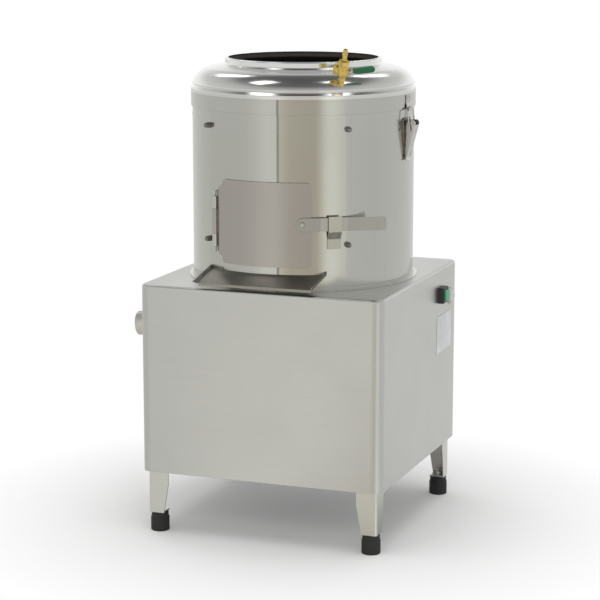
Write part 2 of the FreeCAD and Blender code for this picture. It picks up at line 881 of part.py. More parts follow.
def make_drive_belt():
    span = math.hypot(motor_x, motor_y)
    heading = math.degrees(math.atan2(motor_y, motor_x))
    spread = math.degrees(math.acos((belt_inner_large - belt_inner_small) / span))
    r0 = belt_inner_large
    r1 = r0 + belt_thickness
    z = pulley_level
    outline = [(r0, z - belt_half_inner), (r1, z - belt_half_outer), (r1, z + belt_half_outer), (r0, z + belt_half_inner)]
    start = upright(polygon_face(outline))
    start.rotate(V(0, 0, 0), V(0, 0, 1), heading + spread)
    far_arc = start.revolve(V(0, 0, 0), V(0, 0, 1), 360 - 2 * spread)
    normal = math.radians(heading + spread)
    shift = belt_inner_large - belt_inner_small
    run = V(motor_x - shift * math.cos(normal), motor_y - shift * math.sin(normal), 0)
    upper_run = start.extrude(run)
    small = start.copy()
    small.translate(run)
    near_arc = small.revolve(V(motor_x, motor_y, 0), V(0, 0, 1), -2 * spread)
    small.rotate(V(motor_x, motor_y, 0), V(0, 0, 1), -2 * spread)
    other = math.radians(heading - spread)
    back = V(shift * math.cos(other) - motor_x, shift * math.sin(other) - motor_y, 0)
    lower_run = small.extrude(back)
    return far_arc.fuse([upper_run, near_arc, lower_run]).removeSplitter()


def make_motor_body():
    low = drive_plate_height
    flange_top = low + motor_flange_thickness
    cap = motor_top - 18
    outline = [(motor_shaft_radius + running_fit, low), (motor_flange_radius, low), (motor_flange_radius, flange_top)]
    outline += [(motor_radius, flange_top), (motor_radius, cap), (motor_radius - 14, motor_top)]
    outline += [(0, motor_top), (0, cap), (motor_shaft_radius + running_fit, cap)]
    body = spin(polygon_face(outline), motor_x, motor_y)
    fin_low = flange_top + 12
    for i in range(motor_fin_count):
        half = motor_fin_thickness / 2
        fin = block(motor_radius - 3, motor_fin_radius, -half, half, fin_low, cap - 4)
        fin.rotate(V(0, 0, 0), V(0, 0, 1), 360.0 * i / motor_fin_count)
        fin.translate(V(motor_x, motor_y, 0))
        body = body.fuse(fin)
    for x, y in motor_bolt_points():
        body = body.cut(cylinder(motor_bolt_radius, low - 1, flange_top + 1, x, y))
    return body


def make_motor_shaft():
    return cylinder(motor_shaft_radius, spindle_bottom, motor_top - 24, motor_x, motor_y)


def make_turntable():
    low = turntable_low
    rim = turntable_radius
    outline = [(spindle_thread_radius, spindle_top_shoulder), (spindle_radius, spindle_top_shoulder)]
    outline += [(spindle_radius, turntable_hub_low), (turntable_hub_radius, turntable_hub_low)]
    outline += [(turntable_hub_radius, low), (rim - 4, low), (rim - 4, low - 6), (rim, low - 6)]
    outline += [(rim, turntable_top), (spindle_thread_radius, turntable_top)]
    table = spin(polygon_face(outline))
    for i in range(paddle_count):
        half = paddle_thickness / 2
        paddle = block(turntable_hub_radius - 1, paddle_outer, -half, half, low - paddle_drop, low + 1)
        paddle.rotate(V(0, 0, 0), V(0, 0, 1), 360.0 * i / paddle_count)
        table = table.fuse(paddle)
    return table.removeSplitter()


def make_abrasive_disc():
    disc = ring(abrasive_radius, turntable_nut_radius + 1, turntable_top, abrasive_top)
    half = wave_width / 2
    crest = [V(0, -half, 0), V(0, -half / 3, wave_height), V(0, half / 3, wave_height), V(0, half, 0)]
    for i in range(wave_count):
        section = [V(p.x, p.y, p.z + abrasive_top - 1) for p in crest]
        wave_face = Part.Face(Part.makePolygon(section + [section[0]]))
        wave_face.translate(V(wave_inner, 0, 0))
        wave = wave_face.extrude(V(wave_outer - wave_inner, 0, 0))
        wave.rotate(V(0, 0, 0), V(0, 0, 1), 360.0 * i / wave_count + 40)
        disc = disc.fuse(wave)
    return disc.removeSplitter()


def make_turntable_nut():
    r = turntable_nut_radius
    z0 = turntable_top
    z1 = abrasive_top + turntable_nut_height
    t = spindle_thread_radius
    outline = [(t, z0), (r, z0), (r, z1 - 6), (r - 6, z1), (0, z1), (0, z1 - 5), (t, z1 - 5)]
    return spin(polygon_face(outline))


def liner_bolt_places():
    return [(angle, z) for angle in liner_angles for z in liner_bolt_heights]


def make_drum_shell():
    drum = ring(drum_radius, drum_inner, drum_bottom, drum_top)
    h = opening_half_angle
    door = slab(drum_inner - 9, drum_radius + 9, -h, h, opening_bottom, opening_top, opening_corner)
    drum = drum.cut(door)
    for angle, z in liner_bolt_places():
        hole = outward(cylinder(liner_bolt_radius, drum_inner - 5, drum_radius + 5), z)
        drum = drum.cut(turned(hole, angle))
    return drum


def make_drum_base_ring():
    r = drum_radius
    z = cabinet_top
    path = [(r + base_ring_flange, z), (r, z), (r, z + base_ring_height)]
    return spin(strip_face(path[::-1], [0.8], sheet))


def slanted(low_offset):
    # everything below the pan's slanted floor plane
    size = 4 * drum_radius
    box = Part.makeBox(size, size, drum_radius, V(-size / 2, -size / 2, -drum_radius))
    box.rotate(V(0, 0, 0), V(0, 1, 0), -pan_slope)
    box.translate(V(0, 0, pan_floor_centre + low_offset))
    return box


def make_pan_skirt():
    low = pan_floor_centre - 40
    skirt = ring(drum_inner, drum_inner - pan_sheet, low, pan_top).cut(slanted(0))
    return skirt.cut(drain_bar(drain_radius - drain_wall, drain_run + 20))


def make_drum_pan():
    low = pan_floor_centre - 40
    disc = cylinder(drum_inner - pan_sheet, low, pan_top)
    pan = disc.cut(slanted(0)).common(slanted(pan_sheet))
    collar_inner = housing_tube_radius + collar_gap
    collar = cylinder(collar_inner + pan_sheet, low, pan_collar_top).cut(slanted(0))
    pan = pan.fuse(collar).cut(cylinder(collar_inner, low - 1, pan_top + 1))
    pan = pan.cut(drain_bar(drain_radius - drain_wall, drain_run + 20))
    return pan.removeSplitter()


def make_drain_pipe():
    outer = drain_bar(drain_radius - drain_swage, drain_run).fuse(drain_bar(drain_radius, drain_hose_length))
    bore = drain_bar(drain_radius - drain_wall, drain_run + 10, 5)
    pan = cylinder(drum_inner, pan_floor_centre - 80, pan_top + 80)
    return outer.cut(bore).cut(pan)


def make_liner_panels():
    panels = []
    gap = math.degrees(liner_gap / liner_inner)
    for i in range(len(liner_angles) - 1):
        a0 = liner_angles[i] + gap
        a1 = liner_angles[i + 1] - gap
        panels.append(slab(liner_inner, drum_inner, a0, a1, liner_bottom, liner_top))
    return Part.makeCompound(panels)


def make_liner_clamp_bars():
    bars = []
    half = math.degrees(clamp_bar_width / 2 / liner_inner)
    low = liner_bottom + clamp_bar_margin
    high = liner_top - clamp_bar_margin
    for angle in liner_angles:
        bar = slab(liner_inner - clamp_bar_thickness, liner_inner, angle - half, angle + half, low, high)
        for z in liner_bolt_heights:
            hole = outward(cylinder(liner_bolt_radius, liner_inner - 20, liner_inner + 5), z)
            bar = bar.cut(turned(hole, angle))
        bars.append(bar)
    return Part.makeCompound(bars)


def liner_bolt(reach):
    # shank with a cap nut on the outside
    r = liner_nut_dome_radius
    top = liner_nut_dome_top
    dome_face = polygon_face([(0, 0), (r, 0), (r, top), (0, top)], [0, 0, liner_nut_dome_bend, 0])
    piece = bolt(liner_nut_flats, liner_nut_height, liner_bolt_radius, reach)
    return piece.fuse(spin(dome_face)).removeSplitter()


def make_liner_bolts():
    bolts = []
    reach = drum_radius - liner_inner + clamp_bar_thickness
    for angle, z in liner_bolt_places():
        piece = outward(liner_bolt(reach), z)
        piece.translate(V(drum_radius, 0, 0))
        bolts.append(turned(piece, angle))
    return Part.makeCompound(bolts)


def hood_path():
    path = [(hood_band_radius, hood_band_top), (hood_band_radius, hood_bead_height - hood_bead_start)]
    path += [(hood_bead_radius, hood_bead_height), (hood_groove_radius, hood_groove_height)]
    path += [(hood_edge_radius, hood_edge_height), (hood_shoulder_radius, hood_shoulder_height)]
    path += [(hood_neck_radius, hood_neck_height), (hood_neck_radius, hood_rim_height)]
    path += [(hood_mouth_radius, hood_rim_height)]
    return path, [3, 2.0, 0.9, 1.9, hood_shoulder_bend, 4.0, 2.8]


def make_hood_seal():
    outer = hood_inner_band - seal_gap
    inner = outer - seal_width
    slope = (hood_groove_height - hood_bead_height) / (hood_bead_radius - hood_groove_radius)
    drop = (hood_sheet + seal_gap) * math.sqrt(1 + slope * slope)
    low_top = hood_bead_height + slope * (hood_bead_radius - outer) - drop
    high_top = hood_bead_height + slope * (hood_bead_radius - inner - 1) - drop
    outline = [(inner, drum_top), (outer, drum_top), (outer, low_top), (inner + 1, high_top), (inner, high_top)]
    return spin(polygon_face(outline))


def place_on_hood(shape):
    # carries a valve piece from its own frame to its seat on the shoulder
    copy = shape.copy()
    copy.rotate(V(0, 0, 0), V(0, 1, 0), valve_lean)
    copy.translate(V(valve_foot_radius, 0, valve_foot_height))
    return turned(copy, valve_angle)


def make_hood():
    path, radii = hood_path()
    hood = spin(strip_face(path, radii, hood_sheet))
    return hood.cut(place_on_hood(cylinder(valve_tail_radius, -20, 20)))


def make_hood_band():
    band = ring(hood_band_radius, hood_inner_band, hood_bottom, hood_band_top)
    for angle in toggle_angles:
        for y in (-keeper_rivet_spread, keeper_rivet_spread):
            band = band.cut(turned(keeper_rivet_hole(y), angle))
    return band


def keeper_rivet_hole(y):
    bar = cylinder(keeper_rivet_radius, hood_inner_band - 5, hood_band_radius + 9)
    bar = outward(bar, keeper_rivet_height)
    bar.translate(V(0, y, 0))
    return bar


def keeper_face():
    x0 = hood_band_radius
    hx, hz = toggle_hook
    room = bail_wire + hook_gap
    back = hx - room - keeper_sheet
    low = hz - room - keeper_sheet
    front = hx + room + keeper_sheet
    path = [(x0, keeper_top), (x0, hz + 12), (back, hz + 7.5), (back, low), (front, low), (front, hz + keeper_lip)]
    bend = room + keeper_sheet - 0.01
    return strip_face(path, [2.5, 2.5, bend, bend], keeper_sheet)


def make_hood_keepers():
    keeper = across(keeper_face(), -keeper_half_width, keeper_half_width)
    for y in (-keeper_rivet_spread, keeper_rivet_spread):
        keeper = keeper.cut(keeper_rivet_hole(y))
    return Part.makeCompound([turned(keeper, angle) for angle in toggle_angles])


def make_hood_rivets():
    rivets = []
    seat = hood_band_radius + keeper_sheet
    for angle in toggle_angles:
        for y in (-keeper_rivet_spread, keeper_rivet_spread):
            head = Part.makeCone(keeper_rivet_head, keeper_rivet_head - 1.2, 1.3, V(0, 0, seat))
            shank = cylinder(keeper_rivet_radius, hood_inner_band - 0.6, seat)
            rivet = outward(head.fuse(shank), keeper_rivet_height)
            rivet.translate(V(0, y, 0))
            rivets.append(turned(rivet, angle))
    return Part.makeCompound(rivets)


def toggle_bar(radius, low, high):
    x, z = toggle_pivot
    return Part.makeCylinder(radius, high - low, V(x, low, z), V(0, 1, 0))


def side_plate(face, low, high):
    # plate whose outline is given as (Y, Z), between two distances from the axis
    copy = face.copy()
    copy.rotate(V(0, 0, 0), V(1, 1, 1), 120)
    copy.translate(V(low, 0, 0))
    return copy.extrude(V(high - low, 0, 0))


def make_toggle_base():
    w = toggle_plate_half_width
    outer = drum_radius + toggle_plate_sheet
    foot = toggle_plate_half_foot
    low = toggle_plate_bottom
    knee = toggle_plate_taper
    top = toggle_plate_top
    outline = polygon_face([(-foot, low), (foot, low), (w, knee), (w, top), (-w, top), (-w, knee)], [3, 3, 6, 5, 5, 6])
    plate = side_plate(outline, drum_radius - 3, outer)
    plate = plate.cut(cylinder(drum_radius, toggle_plate_bottom - 1, toggle_plate_top + 1))
    x, z = toggle_pivot
    root = outer - ear_sheet / 2
    ear_face = polygon_face([(root, z - 9), (x, z - ear_radius), (x, z + ear_radius), (root, z + 6)])
    for low in (ear_inner, -ear_inner - ear_sheet):
        plate = plate.fuse(across(ear_face, low, low + ear_sheet))
        plate = plate.fuse(toggle_bar(ear_radius, low, low + ear_sheet))
    return plate.cut(toggle_bar(toggle_pin_radius, -w, w)).removeSplitter()


def make_toggle_pin():
    end = cheek_inner + cheek_sheet + 0.3
    pin = toggle_bar(toggle_pin_radius, -end, end)
    pin = pin.fuse(toggle_bar(toggle_pin_head, end, end + toggle_pin_cap))
    return pin.fuse(toggle_bar(toggle_pin_head, -end - toggle_pin_cap, -end))


def lever_outlines():
    x, z = toggle_pivot
    cheek = [(x - 6.5, z + 6.5), (x + 5, z + 6.5), (x + 8, z + 1.5), (x - 0.4, z - 30), (x - 5.7, z - 48)]
    cheek += [(x - 9.3, z - 64), (x - 12.4, z - 64), (x - 12.4, z - 6)]
    radii = [4.5, 3, 4, 20, 20, 1, 1, 4]
    web = [(x - 8.8, z - 71), (x - 10.2, z - 65), (x - 5.7, z - 48), (x - 0.4, z - 30), (x + 7, z - 2.5)]
    return cheek, radii, web


def make_toggle_lever():
    cheek, radii, web = lever_outlines()
    face = polygon_face(cheek, radii)
    outer = cheek_inner + cheek_sheet
    lever = across(face, cheek_inner, outer)
    lever = lever.fuse(across(face, -outer, -cheek_inner))
    lever = lever.fuse(across(strip_face(web, [3, 20, 20], cheek_sheet), -outer, outer))
    lever = lever.cut(toggle_bar(toggle_pin_radius + running_fit, -outer - 1, outer + 1))
    x, z = toggle_bail
    hole = Part.makeCylinder(bail_wire + running_fit, 2 * outer + 2, V(x, -outer - 1, z), V(0, 1, 0))
    return lever.cut(hole).removeSplitter()


def make_toggle_bail():
    x0, z0 = toggle_bail
    x1, z1 = toggle_hook
    w = bail_half_width
    points = [V(x0, -bail_end, z0), V(x0, -w, z0), V(x1, -w, z1), V(x1, w, z1), V(x0, w, z0), V(x0, bail_end, z0)]
    return bent_wire(points, [3.5, bail_bend, bail_bend, 3.5], bail_wire)


def make_door_catch():
    x0 = drum_radius
    x1 = drum_radius + catch_reach
    path = [(x1, catch_top), (x1, catch_shoulder), (x0, catch_knee), (x0, catch_bottom)]
    strip = across(strip_face(path, [3, 5], catch_sheet), -catch_width / 2, catch_width / 2)
    strip = strip.cut(cylinder(drum_radius, catch_bottom - 1, catch_top + 1))
    return turned(strip, catch_angle)


def hinge_bar(radius, low, high):
    centre = polar(hinge_radius, hinge_angle)
    return cylinder(radius, low, high, centre.x, centre.y)


def make_hinge_knuckles():
    knuckles = []
    for low, high in ((knuckle_levels[0], knuckle_levels[1]), (knuckle_levels[2], knuckle_levels[3])):
        saddle = turned(block(drum_radius - 5, hinge_radius, -8, 2, low, high), hinge_angle)
        knuckle = hinge_bar(barrel_radius, low, high).fuse(saddle)
        knuckle = knuckle.cut(cylinder(drum_radius, low - 1, high + 1))
        knuckle = knuckle.cut(hinge_bar(hinge_pin_radius, low - 1, high + 1))
        knuckles.append(knuckle.removeSplitter())
    return Part.makeCompound(knuckles)


def make_hinge_pin():
    pin = hinge_bar(hinge_pin_radius, hinge_pin_bottom, hinge_pin_top - 2)
    return pin.fuse(hinge_bar(hinge_pin_head, hinge_pin_top - 2, hinge_pin_top)).removeSplitter()


def latch_bar_hole(radius, low, high):
    return turned(outward(cylinder(radius, low, high), latch_height), latch_angle)


def make_door_plate():
    h = door_half_angle
    plate = slab(door_inner, door_outer, -h, h, door_bottom, door_top, door_corner)
    tongue = slab(door_inner, door_outer, -tongue_angle, -h / 2, tongue_bottom, tongue_top, door_corner)
    plate = plate.fuse(tongue)
    low = knuckle_levels[1] + knuckle_gap
    high = knuckle_levels[2] - knuckle_gap
    plate = plate.fuse(slab(door_inner, door_outer, hinge_angle, -h, low, high))
    plate = plate.fuse(hinge_bar(barrel_radius, low, high))
    plate = plate.cut(hinge_bar(hinge_pin_radius + running_fit, low - 1, high + 1))
    plate = plate.cut(latch_bar_hole(rivet_radius, drum_radius, door_outer + 9))
    return plate.removeSplitter()


def make_door_gasket():
    r0 = drum_radius + gasket_clearance
    r1 = door_inner - gasket_seat
    h = opening_half_angle + math.degrees(gasket_lap / drum_radius) * 3
    low = opening_bottom - 3 * gasket_lap
    high = opening_top + 3 * gasket_lap
    frame = slab(r0, r1, -h, h, low, high, door_corner)
    p, plug_low, plug_high = plug_limits()
    lap = math.degrees(0.3 / drum_radius)
    window = slab(r0 - 1, r1 + 1, -p - lap, p + lap, plug_low - 0.3, plug_high + 0.3, opening_corner)
    return frame.cut(window)


def plug_limits():
    angle = opening_half_angle - math.degrees(plug_clearance * 2 / drum_radius)
    return angle, opening_bottom + plug_clearance, opening_top - plug_clearance


def make_door_liner():
    p, low, high = plug_limits()
    return slab(door_inner - plug_depth, door_inner, -p, p, low, high, opening_corner)


def make_latch_rivet():
    seat = door_outer + latch_gap + latch_thickness + 0.2
    shank = latch_bar_hole(rivet_radius, door_inner, seat)
    head = Part.makeCone(rivet_head_radius, rivet_head_radius - 1.2, rivet_head_height, V(0, 0, seat))
    return shank.fuse(turned(outward(head, latch_height), latch_angle)).removeSplitter()


def make_latch_bar():
    a = math.radians(latch_headings[0])
    rivet = polar(door_outer + latch_gap, latch_angle)
    points = [(rivet.x - latch_tail * math.cos(a), rivet.y - latch_tail * math.sin(a))]
    x, y = rivet.x, rivet.y
    for length, heading in zip(latch_lengths, latch_headings):
        b = math.radians(heading)
        x += length * math.cos(b)
        y += length * math.sin(b)
        points.append((x, y))
    face = strip_face(points[::-1], [8, 8], latch_thickness)
    face.translate(V(0, 0, latch_height - latch_width / 2))
    bar = face.extrude(V(0, 0, latch_width))
    bar = rounded_ends(bar, V(points[0][0], points[0][1], latch_height), latch_tail_rounding)
    bar = rounded_ends(bar, V(points[-1][0], points[-1][1], latch_height), latch_nose_rounding)
    return bar.cut(latch_bar_hole(rivet_radius + running_fit, door_inner, door_outer + 20))


def rounded_ends(bar, end, radius):
    reach = math.hypot(latch_width, latch_thickness)
    chosen = []
    for edge in bar.Edges:
        level = abs(edge.Vertexes[0].Point.z - edge.Vertexes[-1].Point.z) < 1e-6
        short = abs(edge.Length - latch_thickness) < 1e-3
        if level and short and edge.CenterOfMass.distanceToPoint(end) < reach:
            chosen.append(edge)
    return bar.makeFillet(radius, chosen)


def ruled(first, second):
    return Part.makeLoft([first, second], True, True)


def quad(points):
    return Part.makePolygon(points + [points[0]])


def make_discharge_chute():
    front_left = V(chute_left, chute_front, chute_lip_height)
    front_right = V(chute_right, chute_front, chute_lip_height)
    z = chute_root_height
    middle = (chute_root_left + chute_root_right) / 2
    root = [polar(drum_radius, a, z) for a in (chute_root_left, middle, chute_root_right)]
    lip = Part.LineSegment(front_left, front_right).toShape()
    back = Part.Arc(root[0], root[1], root[2]).toShape()
    chute = Part.makeRuledSurface(lip, back).extrude(V(0, 0, -chute_sheet))
    s = chute_sheet
    hem = block(chute_left, chute_right, chute_front, chute_front + s, chute_lip_height - 5, chute_lip_height)
    chute = chute.fuse(hem)
    sides = ((front_left, root[0], -1, chute_left_flare), (front_right, root[2], 1, chute_right_flare))
    for front, rear, side, flare in sides:
        front_rise = V(side * flare, 0, chute_wall if flare < chute_wall else 1.5)
        rear_rise = V(side * 2, -2, chute_wall + 1)
        depth = V(-side * s, 0, 0)
        low = V(0, 0, -s)
        a = quad([front + low, front + low + depth, front + front_rise + depth, front + front_rise])
        b = quad([rear + low, rear + low + depth, rear + rear_rise + depth, rear + rear_rise])
        chute = chute.fuse(ruled(a, b))
    tab = slab(drum_radius - 1, drum_radius + s, chute_root_left, chute_tab_angle, z - 1, z + chute_tab_height)
    chute = chute.fuse(tab)
    chute = chute.cut(cylinder(drum_radius, cabinet_top - 5, drum_top))
    return chute.removeSplitter()


def make_switch_housing():
    w = switch_width / 2
    h = switch_height / 2
    x0 = right_face
    x1 = x0 + switch_depth
    front = block(x0, x1, switch_y - w, switch_y + w, switch_z - h, switch_z + h)
    outer_edges = [e for e in front.Edges if e.BoundBox.XMax > x1 - 1e-6 or e.BoundBox.XLength > 1]
    front = front.makeFillet(2.5, outer_edges)
    m = switch_body_margin
    rear_x = x0 - switch_body_depth
    body = block(rear_x, x0, switch_y - w + m, switch_y + w - m, switch_z - h + m, switch_z + h - m)
    bw = start_width / 2 + button_gap
    bh = start_height / 2 + button_gap
    floor = x1 + start_proud - start_length - button_travel - button_gap
    cavity = block(floor, x1 + 1, switch_y - bw, switch_y + bw, switch_z - bh, switch_z + bh)
    return front.fuse(body).cut(cavity).removeSplitter()


def make_start_button():
    x1 = right_face + switch_depth + start_proud
    w = start_width / 2
    h = start_height / 2
    button = block(x1 - start_length, x1, switch_y - w, switch_y + w, switch_z - h, switch_z + h)
    edges = [e for e in button.Edges if e.BoundBox.XMin > x1 - 1e-6]
    return button.makeFillet(1.2, edges)


def make_stop_switch_body():
    cavity = stop_radius + button_gap
    depth = stop_length - stop_proud + button_travel + button_gap
    floor = -depth - stop_cup_wall
    body = side_bar(cavity + stop_cup_wall, floor, 0, stop_y, stop_z)
    body = body.fuse(side_bar(stop_collar_radius, 0, stop_collar_height, stop_y, stop_z))
    return body.cut(side_bar(cavity, -depth, stop_collar_height + 1, stop_y, stop_z)).removeSplitter()


def make_stop_button():
    button = side_bar(stop_radius, stop_proud - stop_length, stop_proud, stop_y, stop_z)
    edges = [e for e in button.Edges if e.BoundBox.XMin > right_face + stop_proud - 1e-6]
    return button.makeFillet(2.5, edges)


def make_label_plate():
    w = label_high_y - label_low_y
    h = label_high_z - label_low_z
    plate = rounded_plate(h, w, 3.0, 0, label_thickness)
    plate.rotate(V(0, 0, 0), V(0, 1, 0), 90)
    plate.translate(V(right_face, (label_low_y + label_high_y) / 2, (label_low_z + label_high_z) / 2))
    return plate


def make_cable_gland():
    seat = rear_panel_thickness
    gland = hexagon(gland_flats, seat, seat + 7)
    gland = gland.fuse(cylinder(gland_thread, seat - 10, seat + 9))
    cap = Part.makeCone(gland_flats / 2, gland_thread, gland_length - 9, V(0, 0, seat + 9))
    gland = gland.fuse(cap).fuse(cylinder(gland_flats / 2, seat + 8, seat + 9))
    gland = gland.cut(cylinder(gland_bore, seat - 11, seat + gland_length + 1))
    return rearward(gland.removeSplitter(), gland_x, gland_z)


def on_valve(shape):
    # carries a piece on the boss, laid along +X, round the valve's axis and onto the hood
    copy = shape.copy()
    copy.rotate(V(0, 0, 0), V(0, 0, 1), valve_turned)
    return place_on_hood(copy)


def make_valve_body():
    c = valve_ball_height
    r = valve_ball_radius
    t = valve_tail_radius
    n = valve_neck_radius
    outline = [(0, -valve_tail_inside), (t, -valve_tail_inside), (t, 4), (n, 6), (n, c - 13), (r - 1.5, c - 9)]
    outline += [(r, c - 5), (r, c + 5), (r - 2.5, valve_collar_low), (barb_radius, valve_collar_low)]
    ridge = barb_top - 7
    outline += [(barb_radius, ridge - 3), (barb_ridge, ridge - 3), (barb_radius, ridge + 1), (barb_radius, barb_top - 4)]
    outline += [(barb_ridge, barb_top - 4), (barb_radius - 0.8, barb_top), (0, barb_top)]
    body = spin(polygon_face(outline))
    body = body.fuse(hexagon(valve_collar_flats, valve_collar_low, valve_collar_high))
    body = body.fuse(outward(cylinder(boss_radius, 0, boss_end), c))
    body = body.fuse(outward(cylinder(plug_radius, -plug_end + 4, 0), c))
    body = body.fuse(outward(hexagon(2 * plug_radius, -plug_end, -plug_end + 5), c))
    body = body.cut(outward(cylinder(stem_radius, boss_end - 7, boss_end + 1), c))
    body = body.cut(cylinder(barb_bore, valve_collar_low, barb_top + 1))
    return on_valve(body.removeSplitter())


def strap_solid():
    x0 = boss_end + 0.4
    c = valve_ball_height
    half = strap_width / 2
    a = math.radians(strap_crank)
    knee = V(x0, strap_knee, 0)
    end = knee + V(math.sin(a), math.cos(a), 0) * strap_length
    path = [(x0, -half), (knee.x, knee.y), (end.x, end.y)]
    face = strip_face(path[::-1], [4], strap_thickness)
    face.translate(V(0, 0, c - half))
    return face.extrude(V(0, 0, strap_width))


def make_valve_lever():
    c = valve_ball_height
    x1 = boss_end + 0.4 + strap_thickness
    corner = outward(ring(strap_width, strap_width / 2, boss_end, x1 + 1), c)
    corner = corner.common(block(0, x1 + 1, -strap_width, 0, c - strap_width, c + strap_width))
    lever = strap_solid().cut(corner)
    lever = lever.fuse(outward(cylinder(stem_radius - stem_fit, boss_end - 6.7, x1 - 1), c))
    lever = lever.fuse(outward(hexagon(8.5, x1, x1 + 4), c))
    return on_valve(lever.removeSplitter())


def make_valve_grip():
    h = grip_height / 2
    neck = h * 0.78
    kink = grip_start + 11
    tip = grip_end
    outline = [(grip_start, -neck), (kink, -h - 0.4), (tip, -h + 1), (tip, h + 1)]
    outline += [(kink, h - 1), (grip_start, neck)]
    face = polygon_face(outline, [1.5, 5, 5.5, 5.5, 5, 1.5])
    grip = upright(face).extrude(V(0, grip_thickness, 0))
    grip.rotate(V(0, 0, 0), V(0, 0, 1), 90)
    grip.translate(V(grip_thickness / 2 + strap_thickness / 2, 0, valve_ball_height))
    grip.rotate(V(0, 0, 0), V(0, 0, 1), -strap_crank)
    grip.translate(V(boss_end + 0.4, strap_knee, 0))
    return on_valve(grip.cut(strap_solid()))


def make_all():
    toggle = {"toggle_lever": make_toggle_lever(), "toggle_bail": make_toggle_bail()}
    base = make_toggle_base()
    pin = make_toggle_pin()
    motor_seat = drive_plate_height + motor_flange_thickness
    housing_seat = drive_plate_height + housing_flange_thickness
    parts = {
        "housing_shell": make_housing_shell(),
        "rear_panel": make_rear_panel(),
        "rear_panel_screws": make_rear_panel_screws(),
        "cabinet_legs": Part.makeCompound(four_corners(make_leg())),
        "rubber_feet": make_rubber_feet(),
        "foot_bolts": make_foot_bolts(),
        "drive_plate": make_drive_plate(),
        "spindle_housing": make_spindle_housing(),
        "housing_bolts": make_plate_bolts(housing_bolt_points(), housing_bolt_flats, housing_bolt_radius, housing_seat),
        "spindle_bearings": make_spindle_bearings(),
        "shaft_seal": make_shaft_seal(),
        "motor_body": make_motor_body(),
        "motor_bolts": make_plate_bolts(motor_bolt_points(), motor_bolt_flats, motor_bolt_radius, motor_seat),
        "drive_belt": make_drive_belt(),
        "spindle": make_spindle(),
        "spindle_pulley": make_spindle_pulley(),
        "turntable": make_turntable(),
        "abrasive_disc": make_abrasive_disc(),
        "turntable_nut": make_turntable_nut(),
        "motor_shaft": make_motor_shaft(),
        "motor_pulley": make_motor_pulley(),
        "drum_shell": make_drum_shell(),
        "drum_base_ring": make_drum_base_ring(),
        "drum_pan": make_drum_pan(),
        "pan_skirt": make_pan_skirt(),
        "liner_panels": make_liner_panels(),
        "liner_clamp_bars": make_liner_clamp_bars(),
        "liner_bolts": make_liner_bolts(),
        "hood_seal": make_hood_seal(),
        "drain_pipe": make_drain_pipe(),
        "discharge_chute": make_discharge_chute(),
        "door_catch": make_door_catch(),
        "hinge_knuckles": make_hinge_knuckles(),
        "hinge_pin": make_hinge_pin(),
        "door_plate": make_door_plate(),
        "door_gasket": make_door_gasket(),
        "door_liner": make_door_liner(),
        "latch_rivet": make_latch_rivet(),
        "latch_bar": make_latch_bar(),
        "hood": make_hood(),
        "hood_band": make_hood_band(),
        "hood_keepers": make_hood_keepers(),
        "hood_rivets": make_hood_rivets(),
        "valve_body": make_valve_body(),
        "valve_lever": make_valve_lever(),
        "valve_grip": make_valve_grip(),
        "toggle_bases": Part.makeCompound([turned(base, angle) for angle in toggle_angles]),
        "toggle_pins": Part.makeCompound([turned(pin, angle) for angle in toggle_angles]),
        "switch_housing": make_switch_housing(),
        "start_button": make_start_button(),
        "stop_switch_body": make_stop_switch_body(),
        "stop_button": make_stop_button(),
        "label_plate": make_label_plate(),
        "cable_gland": make_cable_gland(),
    }
    for name, shape in toggle.items():
        parts[name + "_right"] = turned(shape, toggle_angles[0])
        parts[name + "_left"] = turned(shape, toggle_angles[1])
    return parts


def footprint_centre(parts):
    # the record's origin lies on the floor under the middle of the outer box
    box = FreeCAD.BoundBox()
    for shape in parts.values():
        box.add(shape.optimalBoundingBox(False))
    return V(-box.Center.x, -box.Center.y, -box.ZMin)


def main():
    os.makedirs("parts", exist_ok=True)
    parts = make_all()
    move = footprint_centre(parts)
    for name, shape in parts.items():
        placed = shape.copy()
        placed.translate(move)
        placed.exportStep("parts/" + name + ".step")


main()
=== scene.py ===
# Electric potato peeler in a pale studio, metres, in the frame of its solids
import json
import math

import bmesh
import bpy
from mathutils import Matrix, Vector


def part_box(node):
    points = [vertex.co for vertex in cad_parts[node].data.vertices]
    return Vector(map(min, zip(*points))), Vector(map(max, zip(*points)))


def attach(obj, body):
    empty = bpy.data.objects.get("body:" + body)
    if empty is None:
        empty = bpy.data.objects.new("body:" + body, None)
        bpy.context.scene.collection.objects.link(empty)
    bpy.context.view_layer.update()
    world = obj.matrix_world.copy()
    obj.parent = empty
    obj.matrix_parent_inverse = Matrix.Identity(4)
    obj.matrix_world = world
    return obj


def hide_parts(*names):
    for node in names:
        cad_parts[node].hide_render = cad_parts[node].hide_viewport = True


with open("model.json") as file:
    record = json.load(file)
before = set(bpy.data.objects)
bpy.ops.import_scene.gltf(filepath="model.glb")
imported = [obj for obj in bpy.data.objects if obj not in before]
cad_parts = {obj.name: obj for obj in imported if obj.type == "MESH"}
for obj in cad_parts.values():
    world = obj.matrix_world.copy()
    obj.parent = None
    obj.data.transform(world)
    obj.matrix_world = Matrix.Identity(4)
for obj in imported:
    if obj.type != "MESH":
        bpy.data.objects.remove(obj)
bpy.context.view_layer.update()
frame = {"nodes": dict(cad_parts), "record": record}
solids = frame["nodes"]

# the drum's axis and the levels that the pieces share
drum_low, drum_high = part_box("drum_shell")
axis_x = (drum_low.x + drum_high.x) / 2
axis_y = (drum_low.y + drum_high.y) / 2
drum_radius = (drum_high.x - drum_low.x) / 2
AXIS = Vector((axis_x, axis_y, 0))
MM = 0.001
SEAM_ANGLE = 7.7


def around(radius, angle, height):
    """Point at a radius and an angle from the front of the drum."""
    a = math.radians(angle)
    return Vector((axis_x + radius * math.sin(a), axis_y - radius * math.cos(a), height))


# camera, lamps, floor and backdrop

